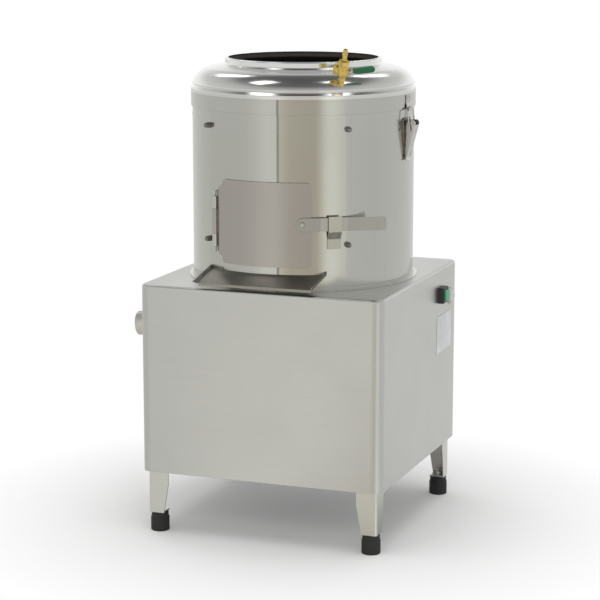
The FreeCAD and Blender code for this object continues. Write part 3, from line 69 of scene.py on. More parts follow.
# the viewer's turn to the right of the front and the camera's downward tilt, in degrees
VIEW_TURN = 20.546
VIEW_TILT = 10.843
VIEW_ANGLE = math.radians(VIEW_TURN)
CAMERA_PLACE = Vector((1.42323, -3.81618, 1.21338))
LENS_LENGTH = 125.35
SENSOR_WIDTH = 36


def make_camera():
    data = bpy.data.cameras.new("camera")
    data.lens = LENS_LENGTH
    data.sensor_width = SENSOR_WIDTH
    data.clip_end = 100
    camera = bpy.data.objects.new("camera", data)
    bpy.context.scene.collection.objects.link(camera)
    camera.location = AXIS + CAMERA_PLACE
    camera.rotation_euler = (math.radians(90 - VIEW_TILT), 0, VIEW_ANGLE)
    bpy.context.scene.camera = camera


def softbox(name, place, target, width, height, power):
    data = bpy.data.lights.new(name, "AREA")
    data.shape = "RECTANGLE"
    data.size = width
    data.size_y = height
    data.energy = power
    lamp = bpy.data.objects.new(name, data)
    bpy.context.scene.collection.objects.link(lamp)
    lamp.location = AXIS + place
    lamp.rotation_euler = (target - place).to_track_quat("-Z", "Y").to_euler()
    return lamp


def from_view(side, near, height):
    """Place given to the right of the view, towards the camera and up."""
    right = Vector((math.cos(VIEW_ANGLE), math.sin(VIEW_ANGLE), 0))
    back = Vector((math.sin(VIEW_ANGLE), -math.cos(VIEW_ANGLE), 0))
    return right * side + back * near + Vector((0, 0, height))


# softboxes: angle from the viewer's side, elevation, distance, width, height, power
SOFTBOXES = {
    "left_front_softbox": (-72, 62, 2.6, 0.55, 0.75, 3.9),
    "right_front_softbox": (64, 65, 2.6, 0.50, 0.75, 3.6),
    "left_back_softbox": (-145, 44, 2.8, 0.48, 0.85, 3.6),
    "right_back_softbox": (145, 46, 2.8, 0.48, 0.85, 3.6),
}
# large diffusers that light the room and don't show in the metal
DIFFUSERS = {
    "ceiling_diffuser": (-10, 82, 3.0, 3.0, 3.0, 58.0),
    "front_diffuser": (-4, 26, 4.2, 3.0, 1.4, 26.0),
}


# height on the drum's axis that the lamps point at
LIT_HEIGHT = 0.85


def make_lamps():
    middle = Vector((0, 0, LIT_HEIGHT))
    for group, shows in ((SOFTBOXES, True), (DIFFUSERS, False)):
        for name, (turn, rise, far, width, height, power) in group.items():
            flat = far * math.cos(math.radians(rise))
            side = flat * math.sin(math.radians(turn))
            near = flat * math.cos(math.radians(turn))
            place = from_view(side, near, middle.z + far * math.sin(math.radians(rise)))
            lamp = softbox(name, place, middle, width, height, power)
            lamp.visible_glossy = shows


class Tree:
    """Short hand for a node tree under construction."""

    def __init__(self, tree):
        self.tree = tree
        tree.nodes.clear()

    def add(self, kind, inputs=None, **settings):
        node = self.tree.nodes.new(kind)
        for key, value in settings.items():
            setattr(node, key, value)
        for key, value in (inputs or {}).items():
            self.feed(node.inputs[key], value)
        return node

    def feed(self, socket, value):
        if isinstance(value, bpy.types.NodeSocket):
            self.tree.links.new(value, socket)
        else:
            socket.default_value = value

    def math(self, operation, a, b=0.0, c=0.0, clamp=False):
        node = self.add("ShaderNodeMath", operation=operation, use_clamp=clamp)
        for socket, value in zip(node.inputs, (a, b, c)):
            self.feed(socket, value)
        return node.outputs[0]

    def range(self, value, low, high, to_low=0.0, to_high=1.0):
        node = self.add("ShaderNodeMapRange", {"Value": value, "From Min": low, "From Max": high,
                                               "To Min": to_low, "To Max": to_high})
        return node.outputs[0]

    def blend(self, factor, a, b, kind="MIX"):
        node = self.add("ShaderNodeMix", data_type="RGBA", blend_type=kind, clamp_factor=True)
        for index, value in ((0, factor), (6, a), (7, b)):
            self.feed(node.inputs[index], value)
        return node.outputs[2]

    def noise(self, vector, scale, detail=3.0, roughness=0.55):
        node = self.add("ShaderNodeTexNoise", {"Vector": vector, "Scale": scale, "Detail": detail,
                                               "Roughness": roughness})
        return node.outputs["Fac"]

    def place(self):
        return self.add("ShaderNodeTexCoord").outputs["Object"]

    def scaled(self, vector, scale):
        node = self.add("ShaderNodeVectorMath", operation="MULTIPLY")
        self.feed(node.inputs[0], vector)
        self.feed(node.inputs[1], scale)
        return node.outputs[0]


def rgb(red, green, blue):
    return (red, green, blue, 1.0)


def ramp(t, value, stops):
    """Colour ramp from (position, colour) stops."""
    node = t.add("ShaderNodeValToRGB", {"Fac": value})
    elements = node.color_ramp.elements
    while len(elements) < len(stops):
        elements.new(0.5)
    for element, (position, colour) in zip(elements, stops):
        element.position = position
        element.color = rgb(*colour)
    return node.outputs["Color"]


# brightness of the walls and ceiling as metal sees them, from straight down (0) to straight up (1)
WALL_GLOW = [
    (0.0, (0.84, 0.84, 0.84)), (0.50, (0.84, 0.84, 0.84)), (0.60, (0.80, 0.80, 0.79)),
    (0.71, (0.64, 0.64, 0.63)), (0.81, (0.54, 0.54, 0.53)), (0.86, (0.40, 0.40, 0.39)),
    (0.91, (0.15, 0.15, 0.15)), (1.0, (0.10, 0.10, 0.10)),
]
# how much brighter the low wall behind the object is
BACK_GAIN = 0.24


def make_world():
    world = bpy.data.worlds.new("studio")
    bpy.context.scene.world = world
    world.use_nodes = True
    t = Tree(world.node_tree)
    direction = t.add("ShaderNodeTexCoord").outputs["Generated"]
    way = t.add("ShaderNodeSeparateXYZ", {"Vector": direction}).outputs
    height = ramp(t, t.range(way["Z"], -1, 1), WALL_GLOW)
    near = t.math("MULTIPLY", way["Y"], -math.cos(VIEW_ANGLE))
    near = t.math("MULTIPLY_ADD", way["X"], math.sin(VIEW_ANGLE), near)
    low_back = t.math("MULTIPLY", t.range(near, -0.3, -0.8), t.range(way["Z"], 0.42, 0.25))
    gain = t.math("MULTIPLY_ADD", low_back, BACK_GAIN, 1.0)
    rays = t.add("ShaderNodeLightPath")
    room = t.add("ShaderNodeBackground", {"Color": height, "Strength": gain})
    white = t.add("ShaderNodeBackground", {"Color": rgb(1, 1, 1), "Strength": 1.0})
    mix = t.add("ShaderNodeMixShader", {0: rays.outputs["Is Camera Ray"]})
    t.feed(mix.inputs[1], room.outputs[0])
    t.feed(mix.inputs[2], white.outputs[0])
    t.add("ShaderNodeOutputWorld", {"Surface": mix.outputs[0]})


# brightness of the studio floor as metal sees it, by the angle round the drum
FLOOR_GLOW = [
    (-180, (0.82, 0.82, 0.81)), (-130, (0.80, 0.80, 0.78)), (-84, (0.66, 0.66, 0.63)),
    (-46, (0.66, 0.66, 0.63)), (-32, (0.72, 0.72, 0.68)), (-18, (0.88, 0.88, 0.83)),
    (-4, (0.88, 0.87, 0.81)), (6, (0.66, 0.63, 0.55)), (34, (0.60, 0.57, 0.49)),
    (42, (1.0, 0.99, 0.90)), (54, (1.0, 1.0, 0.90)), (65, (0.70, 0.70, 0.67)),
    (100, (0.68, 0.68, 0.67)), (140, (0.76, 0.76, 0.75)), (180, (0.82, 0.82, 0.81)),
]


FLOOR_HALF = 14
# distances from the drum's axis between which the shadowed floor turns into plain backdrop
SHADOW_FADE = (0.30, 0.72)
# backdrop's share right under the object, and the share that metal sees
NEAR_SHARE = 0.12
METAL_SHARE = 0.85
# distances between which the painted shadow that metal sees on the floor under the cabinet gives way to the
# lit floor
UNDER_FADE = (0.25, 0.42)
UNDER_LEFT = 0.12


def make_floor():
    shape = bmesh.new()
    bmesh.ops.create_grid(shape, x_segments=1, y_segments=1, size=FLOOR_HALF)
    data = bpy.data.meshes.new("floor")
    shape.to_mesh(data)
    shape.free()
    floor = bpy.data.objects.new("floor", data)
    bpy.context.scene.collection.objects.link(floor)
    material = bpy.data.materials.new("pale floor")
    material.use_nodes = True
    t = Tree(material.node_tree)
    centred = t.add("ShaderNodeVectorMath", operation="SUBTRACT")
    t.feed(centred.inputs[0], t.place())
    centred.inputs[1].default_value = AXIS
    split = t.add("ShaderNodeSeparateXYZ", {"Vector": centred.outputs[0]}).outputs
    angle = t.math("ARCTAN2", split["X"], t.math("MULTIPLY", split["Y"], -1.0))
    stops = [((degrees + 180) / 360, colour) for degrees, colour in FLOOR_GLOW]
    round_about = ramp(t, t.range(angle, -math.pi, math.pi), stops)
    far = t.add("ShaderNodeVectorMath", operation="LENGTH")
    t.feed(far.inputs[0], centred.outputs[0])
    fade = t.range(far.outputs["Value"], *SHADOW_FADE)
    shade = t.range(far.outputs["Value"], *UNDER_FADE, UNDER_LEFT, 1.0)
    grain = t.noise(t.place(), 3.0)
    colour = t.blend(t.range(grain, 0.3, 0.7), rgb(0.93, 0.93, 0.93), rgb(0.90, 0.90, 0.90))
    rays = t.add("ShaderNodeLightPath")
    lit = t.add("ShaderNodeBsdfPrincipled", {"Base Color": colour, "Roughness": 0.9})
    # painted shadow: the floor glow that metal sees turns dark under the cabinet
    seen_by_metal = t.blend(shade, rgb(0.08, 0.075, 0.065), round_about)
    glow_colour = t.blend(rays.outputs["Is Glossy Ray"], rgb(1, 1, 1), seen_by_metal)
    glow = t.add("ShaderNodeEmission", {"Color": glow_colour, "Strength": 1.0})
    backdrop = t.math("MULTIPLY_ADD", fade, 1 - NEAR_SHARE, NEAR_SHARE)
    camera_share = t.math("MULTIPLY", rays.outputs["Is Camera Ray"], backdrop)
    glossy = t.math("MAXIMUM", rays.outputs["Is Glossy Ray"], rays.outputs["Is Transmission Ray"])
    share = t.math("MULTIPLY_ADD", glossy, METAL_SHARE, camera_share, clamp=True)
    mix = t.add("ShaderNodeMixShader", {0: share})
    t.feed(mix.inputs[1], lit.outputs[0])
    t.feed(mix.inputs[2], glow.outputs[0])
    t.add("ShaderNodeOutputMaterial", {"Surface": mix.outputs[0]})
    data.materials.append(material)


# effects that several finishes share

def new_group(name, inputs, outputs):
    group = bpy.data.node_groups.new(name, "ShaderNodeTree")
    t = Tree(group)
    for label, kind, value in inputs:
        socket = group.interface.new_socket(label, in_out="INPUT", socket_type="NodeSocket" + kind)
        if value is not None:
            socket.default_value = value
    for label, kind in outputs:
        group.interface.new_socket(label, in_out="OUTPUT", socket_type="NodeSocket" + kind)
    return group, t, t.add("NodeGroupInput").outputs


def make_grain_group():
    """Fine brushed lines, drawn out along the axes whose stretch is small."""
    inputs = [("Stretch", "Vector", (1, 1, 1)), ("Fine", "Float", 1.0)]
    group, t, given = new_group("brushed grain", inputs, [("Lines", "Float"), ("Cloud", "Float")])
    place = t.place()
    drawn = t.scaled(place, given["Stretch"])
    fine = t.noise(drawn, given["Fine"], 5.0, 0.7)
    cloud = t.noise(place, 5.0, 3.0, 0.5)
    t.add("NodeGroupOutput", {"Lines": fine, "Cloud": cloud})
    return group


def make_round_grain_group():
    """Brushed lines that run round the drum's axis, from angle, height and radius."""
    inputs = [("Round", "Float", 2.0), ("Up", "Float", 300.0), ("Out", "Float", 300.0)]
    group, t, given = new_group("round grain", inputs, [("Lines", "Float"), ("Cloud", "Float")])
    place = t.place()
    centred = t.add("ShaderNodeVectorMath", operation="SUBTRACT")
    t.feed(centred.inputs[0], place)
    centred.inputs[1].default_value = AXIS
    split = t.add("ShaderNodeSeparateXYZ", {"Vector": centred.outputs[0]}).outputs
    angle = t.math("ARCTAN2", split["Y"], split["X"])
    across = t.math("MULTIPLY", split["X"], split["X"])
    deep = t.math("MULTIPLY", split["Y"], split["Y"])
    radius = t.math("SQRT", t.math("ADD", across, deep))
    joined = t.add("ShaderNodeCombineXYZ", {"X": t.math("MULTIPLY", angle, given["Round"]),
                                            "Y": t.math("MULTIPLY", split["Z"], given["Up"]),
                                            "Z": t.math("MULTIPLY", radius, given["Out"])})
    lines = t.noise(joined.outputs[0], 1.0, 5.0, 0.7)
    cloud = t.noise(place, 5.0, 3.0, 0.5)
    t.add("NodeGroupOutput", {"Lines": lines, "Cloud": cloud})
    return group


def make_seam_and_reflection_group():
    """Painted warm reflection in a band right of the lap seam, and the seam's thin dark line."""
    group, t, given = new_group("seam line and painted warm reflection", [("Seam", "Float", math.radians(SEAM_ANGLE))],
                                [("Warm Reflection", "Float"), ("Line", "Float")])
    centred = t.add("ShaderNodeVectorMath", operation="SUBTRACT")
    t.feed(centred.inputs[0], t.place())
    centred.inputs[1].default_value = AXIS
    split = t.add("ShaderNodeSeparateXYZ", {"Vector": centred.outputs[0]}).outputs
    angle = t.math("ARCTAN2", split["X"], t.math("MULTIPLY", split["Y"], -1.0))
    past = t.math("SUBTRACT", angle, given["Seam"])
    # painted reflection: warm from the seam, fading out between about 19 and 25 degrees past it
    warm = t.math("MULTIPLY", t.range(past, 0.0, 0.012), t.range(past, 0.33, 0.44, 1.0, 0.0))
    near = t.range(t.math("ABSOLUTE", past), 0.016, 0.004, 0.0, 0.80)
    t.add("NodeGroupOutput", {"Warm Reflection": warm, "Line": near})
    return group


def make_corner_shade_group():
    """Painted shade: a mask that darkens where pieces meet and close in the light, broken up by noise."""
    group, t, given = new_group("painted shade in corners", [("Reach", "Float", 0.006)], [("Corner Shade", "Float")])
    open_sky = t.add("ShaderNodeAmbientOcclusion", {"Distance": given["Reach"]}, samples=6).outputs["AO"]
    broken = t.range(t.noise(t.place(), 160.0, 3.0), 0.3, 0.7, 0.65, 1.0)
    closed_in = t.range(open_sky, 0.75, 0.25)
    t.add("NodeGroupOutput", {"Corner Shade": t.math("MULTIPLY", closed_in, broken, clamp=True)})
    return group


def make_edge_group():
    """Mask of worn corners: where the rounded normal leaves the flat one."""
    group, t, given = new_group("edge wear", [("Reach", "Float", 0.0015), ("Break", "Float", 90.0)],
                                [("Edge", "Float")])
    soft = t.add("ShaderNodeBevel", {"Radius": given["Reach"]}, samples=6).outputs[0]
    flat = t.add("ShaderNodeNewGeometry").outputs["Normal"]
    turn = t.add("ShaderNodeVectorMath", operation="DOT_PRODUCT")
    t.feed(turn.inputs[0], soft)
    t.feed(turn.inputs[1], flat)
    bent = t.range(turn.outputs["Value"], 0.995, 0.80)
    broken = t.range(t.noise(t.place(), given["Break"], 3.0), 0.38, 0.62)
    t.add("NodeGroupOutput", {"Edge": t.math("MULTIPLY", bent, broken, clamp=True)})
    return group


def make_grit_group():
    """Coarse grains of an abrasive coat, with bare spots."""
    group, t, given = new_group("abrasive grit", [("Size", "Float", 700.0)],
                                [("Height", "Float"), ("Tone", "Float")])
    place = t.place()
    cells = t.add("ShaderNodeTexVoronoi", {"Vector": place, "Scale": given["Size"]})
    rough = t.noise(place, 60.0, 4.0, 0.6)
    height = t.math("MULTIPLY_ADD", rough, 0.6, cells.outputs["Distance"])
    split = t.add("ShaderNodeSeparateColor", {"Color": cells.outputs["Color"]}).outputs["Red"]
    tone = t.math("MULTIPLY_ADD", split, 0.5, t.math("MULTIPLY", rough, 0.5))
    t.add("NodeGroupOutput", {"Height": height, "Tone": tone})
    return group


def make_speck_group():
    """Smudges, dust and small dull spots of a used surface."""
    outputs = [("Smudge", "Float"), ("Speck", "Float")]
    group, t, given = new_group("smudges", [("Size", "Float", 9.0)], outputs)
    place = t.place()
    smudge = t.range(t.noise(place, given["Size"], 6.0, 0.65), 0.42, 0.72)
    speck = t.range(t.noise(place, 420.0, 2.0, 0.5), 0.66, 0.74)
    t.add("NodeGroupOutput", {"Smudge": smudge, "Speck": speck})
    return group


make_camera()
make_lamps()
make_world()
make_floor()
GRAIN = make_grain_group()
ROUND = make_round_grain_group()
EDGE = make_edge_group()
GRIT = make_grit_group()
SPECK = make_speck_group()
SEAM_AND_REFLECTION = make_seam_and_reflection_group()
CORNER_SHADE = make_corner_shade_group()


# finishes

def group_node(t, group, **inputs):
    node = t.add("ShaderNodeGroup", node_tree=group)
    for key, value in inputs.items():
        t.feed(node.inputs[key], value)
    return node.outputs


def finish(t, material, colour, roughness, height, depth, soften=0.0006, **constants):
    """Principled surface with bump, corners softened by a small bevel normal."""
    base = t.add("ShaderNodeBevel", {"Radius": soften}, samples=4).outputs[0]
    bump = t.add("ShaderNodeBump", {"Height": height, "Distance": depth, "Strength": 1.0, "Normal": base})
    surface = t.add("ShaderNodeBsdfPrincipled", {"Base Color": colour, "Roughness": roughness,
                                                 "Normal": bump.outputs[0]})
    for key, value in constants.items():
        surface.inputs[key.replace("_", " ")].default_value = value
    t.add("ShaderNodeOutputMaterial", {"Surface": surface.outputs[0]})
    return material


def start(name):
    material = bpy.data.materials.new(name)
    material.use_nodes = True
    return material, Tree(material.node_tree)


def brushed_steel(name, colour, roughness, stretch, grain=0.05, depth=0.000004, round_axis=False,
                  reflection_tint=None):
    material, t = start(name)
    if round_axis:
        lines = group_node(t, ROUND, Round=stretch[0], Up=stretch[1], Out=stretch[2])
    else:
        lines = group_node(t, GRAIN, Stretch=stretch)
    marks = group_node(t, SPECK, Size=7.0)
    edge = group_node(t, EDGE)["Edge"]
    light = tuple(min(1.0, c * 1.04) for c in colour)
    dark = tuple(c * 0.96 for c in colour)
    tone = t.blend(t.range(lines["Lines"], 0.35, 0.65), rgb(*dark), rgb(*light))
    tone = t.blend(t.range(lines["Cloud"], 0.35, 0.65, 0.0, 0.35), tone, rgb(*colour))
    # painted reflection: a warm darker band right of the lap seam, then the seam's dark joint line
    if reflection_tint:
        side = group_node(t, SEAM_AND_REFLECTION)
        tone = t.blend(side["Warm Reflection"], tone, rgb(*reflection_tint), "MULTIPLY")
        tone = t.blend(side["Line"], tone, rgb(0.25, 0.23, 0.20))
    # painted shade: the steel darkens where pieces meet
    corner_shade = group_node(t, CORNER_SHADE, Reach=0.005)["Corner Shade"]
    tone = t.blend(t.math("MULTIPLY", corner_shade, 0.75), tone, rgb(*[c * 0.3 for c in colour]))
    tone = t.blend(t.math("MULTIPLY", marks["Smudge"], 0.10), tone, rgb(*[c * 0.82 for c in colour]))
    tone = t.blend(t.math("MULTIPLY", edge, 0.40), tone, rgb(0.74, 0.74, 0.73))
    gloss = t.range(lines["Lines"], 0.3, 0.7, roughness - grain, roughness + grain)
    gloss = t.math("MULTIPLY_ADD", marks["Smudge"], 0.05, gloss)
    gloss = t.math("MULTIPLY_ADD", edge, -0.08, gloss, clamp=True)
    return finish(t, material, tone, gloss, lines["Lines"], depth, Metallic=1.0)


def polished_steel(name, colour, roughness, depth=0.00001):
    material, t = start(name)
    lines = group_node(t, ROUND, Round=1.5, Up=160.0, Out=160.0)
    marks = group_node(t, SPECK, Size=6.0)
    edge = group_node(t, EDGE)["Edge"]
    deeper = rgb(*[c * 0.93 for c in colour])
    tone = t.blend(t.range(lines["Cloud"], 0.3, 0.7, 0.0, 0.5), rgb(*colour), deeper)
    tone = t.blend(t.math("MULTIPLY", marks["Speck"], 0.3), tone, rgb(*[c * 0.7 for c in colour]))
    tone = t.blend(t.math("MULTIPLY", edge, 0.4), tone, rgb(0.88, 0.88, 0.88))
    gloss = t.math("MULTIPLY_ADD", marks["Smudge"], 0.06, roughness)
    gloss = t.math("MULTIPLY_ADD", lines["Lines"], 0.04, gloss, clamp=True)
    return finish(t, material, tone, gloss, lines["Lines"], depth, Metallic=1.0)


# the last colour given is that of the painted shade where pieces meet
def plain_metal(name, colour, roughness, size=90.0, depth=0.00005, worn=(0.75, 0.75, 0.74), mottle=0.25,
                shade_colour=(0.07, 0.058, 0.045)):
    material, t = start(name)
    place = t.place()
    mottled = t.noise(place, size, 5.0, 0.6)
    marks = group_node(t, SPECK, Size=30.0)
    edge = group_node(t, EDGE, Reach=0.0008, Break=300.0)["Edge"]
    dark = rgb(*[c * (1 - mottle) for c in colour])
    tone = t.blend(t.range(mottled, 0.35, 0.65), dark, rgb(*colour))
    tone = t.blend(t.math("MULTIPLY", marks["Smudge"], mottle), tone, dark)
    tone = t.blend(t.math("MULTIPLY", edge, 0.5), tone, rgb(*worn))
    # painted shade where pieces meet; the metal is also rougher there
    corner_shade = group_node(t, CORNER_SHADE)["Corner Shade"]
    tone = t.blend(t.math("MULTIPLY", corner_shade, 0.85), tone, rgb(*shade_colour))
    gloss = t.range(mottled, 0.3, 0.7, roughness - 0.06, roughness + 0.08)
    gloss = t.math("MULTIPLY_ADD", corner_shade, 0.3, gloss, clamp=True)
    return finish(t, material, tone, gloss, mottled, depth, 0.0004, Metallic=1.0)


def moulded(name, colour, roughness, size=900.0, depth=0.00003, wear=0.25, light=(0.5, 0.5, 0.5)):
    material, t = start(name)
    place = t.place()
    texture = t.noise(place, size, 3.0, 0.5)
    cloud = t.noise(place, 14.0, 4.0, 0.6)
    marks = group_node(t, SPECK, Size=22.0)
    edge = group_node(t, EDGE, Reach=0.001, Break=200.0)["Edge"]
    dark = rgb(*[c * 0.82 for c in colour])
    bright = rgb(*[min(1.0, c * 1.12 + 0.004) for c in colour])
    tone = t.blend(t.range(cloud, 0.3, 0.7), dark, bright)
    tone = t.blend(t.math("MULTIPLY", edge, wear), tone, rgb(*light))
    tone = t.blend(t.math("MULTIPLY", marks["Speck"], 0.25), tone, rgb(*light))
    gloss = t.range(cloud, 0.3, 0.7, roughness - 0.05, roughness + 0.08)
    gloss = t.math("MULTIPLY_ADD", marks["Smudge"], 0.08, gloss, clamp=True)
    return finish(t, material, tone, gloss, texture, depth, 0.0005)


def abrasive(name, colour):
    material, t = start(name)
    grit = group_node(t, GRIT)
    marks = group_node(t, SPECK, Size=12.0)
    tone = t.blend(grit["Tone"], rgb(*[c * 0.45 for c in colour]), rgb(*[c * 1.7 for c in colour]))
    tone = t.blend(t.math("MULTIPLY", marks["Smudge"], 0.35), tone, rgb(0.17, 0.14, 0.10))
    gloss = t.range(grit["Tone"], 0.2, 0.8, 0.95, 0.62)
    return finish(t, material, tone, gloss, grit["Height"], 0.0008)


def make_sheet_finishes():
    steel = (0.62, 0.62, 0.60)
    warm = (0.60, 0.60, 0.57)
    door = (0.48, 0.455, 0.425)
    return {
        "stainless_brushed": brushed_steel("brushed cabinet steel", steel, 0.30, (14, 14, 1500), 0.025),
        # the satin drum steel carries a painted warm reflection right of the lap seam
        "stainless_satin": brushed_steel("satin drum steel", warm, 0.16, (420, 3.0, 400), 0.02,
                                         round_axis=True, reflection_tint=(0.88, 0.85, 0.79)),
        "stainless_polished": polished_steel("polished hood steel", (0.80, 0.80, 0.785), 0.12),
        "door_sheet": brushed_steel("door sheet", door, 0.22, (160, 1.5, 200), 0.012, 0.0000015,
                                    round_axis=True),
        "chute_sheet": brushed_steel("chute sheet", (0.34, 0.325, 0.29), 0.36, (300, 30, 300), 0.04),
        "strap_sheet": brushed_steel("strap sheet", (0.46, 0.45, 0.42), 0.34, (600, 600, 30), 0.04),
        "folded_strip": brushed_steel("folded strip", (0.50, 0.49, 0.44), 0.30, (600, 600, 30), 0.04),
        # cabinet steel made lighter for the legs: painted light
        "leg_sheet": brushed_steel("leg steel painted lighter", (0.70, 0.70, 0.66), 0.30, (14, 14, 1500), 0.025),
        "pipe_sheet": brushed_steel("pipe end", (0.70, 0.68, 0.63), 0.42, (60, 900, 900), 0.04),
    }


def make_metal_finishes():
    brass_worn = (0.98, 0.86, 0.42)
    # colour of the painted shade where the valve's pieces meet
    brass_corner_shade = (0.14, 0.085, 0.02)
    return {
        # darker copy of zinc steel: painted dark reflection on the cap nuts
        "cap_nut_painted_dark": plain_metal("cap nuts in painted dark reflection", (0.30, 0.29, 0.27), 0.36),
        "nickel_clamp": plain_metal("nickel plated clamp", (0.66, 0.64, 0.61), 0.20),
        # darker copy of the nickel clamp finish: painted shade on the clamp base plates
        "clamp_base": plain_metal("clamp base plate in painted shade", (0.30, 0.275, 0.25), 0.28),
        # the hood's inner side is dark: painted shade inside the drum's mouth
        "mouth_shade": plain_metal("unpolished inner side in painted shade", (0.22, 0.20, 0.18), 0.55, 40.0),
        "zinc_steel": plain_metal("zinc plated steel", (0.68, 0.67, 0.64), 0.30),
        "dark_steel": plain_metal("turned steel", (0.36, 0.36, 0.36), 0.28),
        "galvanised": plain_metal("galvanised plate", (0.50, 0.51, 0.52), 0.45, 26.0),
        "aluminium_cast": plain_metal("cast aluminium", (0.66, 0.66, 0.65), 0.42, 220.0, 0.00015),
        "cast_pulley": plain_metal("cast iron", (0.20, 0.20, 0.21), 0.50, 260.0, 0.00012),
        "brass_valve": plain_metal("valve brass", (0.86, 0.63, 0.17), 0.30, 120.0, 0.00006, brass_worn,
                                   0.30, brass_corner_shade),
    }


def make_other_finishes():
    black = (0.018, 0.017, 0.017)
    enamel = (0.10, 0.14, 0.19)
    return {
        "motor_paint": moulded("motor enamel", enamel, 0.38, 500.0, 0.00008, 0.35, (0.45, 0.46, 0.47)),
        "rubber_black": moulded("black rubber", black, 0.62, 700.0, 0.00008, 0.3, (0.09, 0.088, 0.085)),
        "rubber_grey": moulded("grey rubber", (0.16, 0.16, 0.155), 0.60),
        "belt_rubber": moulded("belt rubber", (0.022, 0.022, 0.024), 0.70, 500.0, 0.0001, 0.3,
                               (0.10, 0.10, 0.10)),
        "abrasive_grit": abrasive("abrasive coat", (0.060, 0.050, 0.043)),
        "plastic_black": moulded("black plastic", (0.020, 0.020, 0.021), 0.38, 900.0, 0.00004, 0.2,
                                 (0.15, 0.15, 0.15)),
        "plastic_green": moulded("green button", (0.004, 0.36, 0.12), 0.22, 300.0, 0.00001, 0.25,
                                 (0.35, 0.75, 0.5)),
        "grip_green": moulded("green grip", (0.002, 0.125, 0.042), 0.34, 200.0, 0.00005, 0.15,
                              (0.06, 0.32, 0.15)),
        "plastic_grey": moulded("pale grey button", (0.62, 0.63, 0.62), 0.25, 300.0, 0.00001, 0.2,
                                (0.8, 0.8, 0.8)),
        "label_pale": moulded("pale plate film", (0.78, 0.80, 0.81), 0.45, 400.0, 0.00001, 0.3,
                              (0.85, 0.85, 0.85)),
    }


def make_finishes():
    return {**make_sheet_finishes(), **make_metal_finishes(), **make_other_finishes()}


# pieces whose finish differs from the rest of their slot
OWN_FINISH = {
    "door_plate": "door_sheet",
    # the legs take a lighter copy of the cabinet steel, painted light
    "cabinet_legs": "leg_sheet",
    "discharge_chute": "chute_sheet",
    "latch_bar": "strap_sheet",
    "door_catch": "folded_strip",
    # the cap nuts take the darker copy, painted dark reflection
    "liner_bolts": "cap_nut_painted_dark",
    # the clamp bases take the darker copy, painted shade
    "toggle_bases": "clamp_base",
    "toggle_lever_right": "nickel_clamp",
    "toggle_lever_left": "nickel_clamp",
    "toggle_bail_right": "nickel_clamp",
    "toggle_bail_left": "nickel_clamp",
    "hood_keepers": "nickel_clamp",
    "drain_pipe": "pipe_sheet",
}


def dress_solids(finishes):
    slots = {part["node"]: part["material_slot"] for part in frame["record"]["subparts"]}
    for name, piece in solids.items():
        piece.data.materials.clear()
        piece.data.materials.append(finishes[OWN_FINISH.get(name, slots[name])])


# shapes added to the solids

def make_piece(name, shape, finishes, body="machine", sharp=35):
    """Object from a finished bmesh, smooth but for its sharp edges."""
    bmesh.ops.recalc_face_normals(shape, faces=shape.faces)
    data = bpy.data.meshes.new(name)
    shape.to_mesh(data)
    shape.free()
    data.shade_smooth()
    data.set_sharp_from_angle(angle=math.radians(sharp))
    for finish_ in finishes:
        data.materials.append(finish_)
    piece = bpy.data.objects.new(name, data)
    bpy.context.scene.collection.objects.link(piece)
    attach(piece, body)
    return piece


def rounded_path(points, radii, steps=8):
    """Path of (radius, height) with arcs in place of its inner corners."""
    path = [Vector(points[0])]
    for i, radius in enumerate(radii):
        before, corner, after = (Vector(p) for p in points[i:i + 3])
        to_last = (before - corner).normalized()
        to_next = (after - corner).normalized()
        half = to_last.angle(to_next) / 2
        reach = radius / math.tan(half)
        start_, end_ = corner + to_last * reach, corner + to_next * reach
        middle = corner + (to_last + to_next).normalized() * (radius / math.sin(half))
        first, last = start_ - middle, end_ - middle
        turn = first.angle_signed(last)
        for k in range(steps + 1):
            a = -turn * k / steps
            across = first.x * math.cos(a) - first.y * math.sin(a)
            upward = first.x * math.sin(a) + first.y * math.cos(a)
            path.append(middle + Vector((across, upward)))
    path.append(Vector(points[-1]))
    return path


def moved_in(path, depth):
    """The same path set in by the sheet's thickness."""
    result = []
    for i, point in enumerate(path):
        along = (path[min(i + 1, len(path) - 1)] - path[max(i - 1, 0)]).normalized()
        result.append(point + Vector((-along.y, along.x)) * depth)
    return result


def spin_path(shape, path, steps=256):
    """Full turn of a path round the drum's axis; returns the faces made."""
    former = set(shape.faces)
    verts = [shape.verts.new(around(p.x * MM, 0, p.y * MM)) for p in path]
    edges = [shape.edges.new(pair) for pair in zip(verts, verts[1:])]
    bmesh.ops.spin(shape, geom=verts + edges, cent=AXIS, axis=(0, 0, 1), angle=2 * math.pi, steps=steps,
                   use_merge=True, use_normal_flip=False, use_duplicate=False)
    return [f for f in shape.faces if f not in former]


# the hood's outline in millimetres, as (radius, height) corners and the radii of their bends
HOOD_PATH = [(218.66, 847), (218.66, 850.5), (219.6, 857.5), (213.4, 864.2), (217.0, 866.0), (206.75, 891.2),
             (152.0, 902.0), (152.0, 914.5), (146.0, 914.5)]
HOOD_BENDS = [3, 2.0, 0.9, 1.9, 46, 4.0, 2.8]
HOOD_WALL = 1.2
# height in metres up to which the hood's skirt is satin like the drum
SATIN_TOP = 0.8535


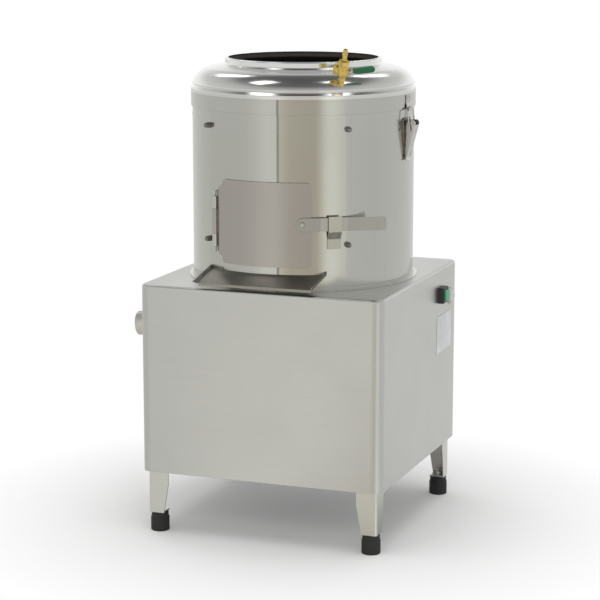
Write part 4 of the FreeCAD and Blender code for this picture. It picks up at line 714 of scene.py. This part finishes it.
def make_hood(finishes):
    shape = bmesh.new()
    outer_path = rounded_path(HOOD_PATH, HOOD_BENDS, 10)
    inner_path = moved_in(outer_path, HOOD_WALL)
    outer = spin_path(shape, outer_path)
    inner = spin_path(shape, inner_path)
    for end in (0, -1):
        spin_path(shape, [outer_path[end], inner_path[end]])
    # the hood's inner side takes the dark finish: painted shade inside the mouth
    for face in inner:
        face.material_index = 1
    for face in outer:
        if face.calc_center_median().z < SATIN_TOP:
            face.material_index = 2
    bmesh.ops.remove_doubles(shape, verts=shape.verts, dist=0.01 * MM)
    skins = [finishes["stainless_polished"], finishes["mouth_shade"], finishes["stainless_satin"]]
    hood = make_piece("hood_spun", shape, skins, "hood_set", 40)
    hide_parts("hood")


# the lap strips: angles of their foot and top, and how far they stand proud and sink in, in millimetres
LAP_FOOT = 0.55
LAP_TOP = 0.2
LAP_PROUD = 0.45
LAP_SUNK = 0.2
LAP_CLEARANCE = 0.001


def make_lap_strip(name, low, high, radius, finishes, body):
    """Edge of the overlapping sheet at the seam, standing a little proud."""
    shape = bmesh.new()
    sunk = radius - LAP_SUNK * MM
    proud = radius + LAP_PROUD * MM
    corners = [around(sunk, SEAM_ANGLE - LAP_FOOT, low), around(proud, SEAM_ANGLE - LAP_TOP, low),
               around(proud, SEAM_ANGLE, low), around(sunk, SEAM_ANGLE, low)]
    foot = shape.faces.new([shape.verts.new(c) for c in corners])
    made = bmesh.ops.extrude_face_region(shape, geom=[foot])
    risen = [v for v in made["geom"] if isinstance(v, bmesh.types.BMVert)]
    bmesh.ops.translate(shape, verts=risen, vec=(0, 0, high - low))
    make_piece(name, shape, [finishes["stainless_satin"]], body, 20)


def add_shapes(finishes):
    make_hood(finishes)
    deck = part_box("drum_base_ring")[1].z
    door_low, door_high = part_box("door_plate")
    band_low, band_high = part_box("hood_band")
    under_door = door_low.z - LAP_CLEARANCE
    over_door = door_high.z + LAP_CLEARANCE
    under_band = band_low.z - LAP_CLEARANCE
    band_radius = (band_high.x - band_low.x) / 2
    make_lap_strip("drum_lap_low", deck, under_door, drum_radius, finishes, "machine")
    make_lap_strip("drum_lap_high", over_door, under_band, drum_radius, finishes, "machine")
    make_lap_strip("band_lap", band_low.z, band_high.z, band_radius, finishes, "hood_set")


FINISHES = make_finishes()
dress_solids(FINISHES)
add_shapes(FINISHES)

bpy.context.scene.view_settings.view_transform = "Standard"
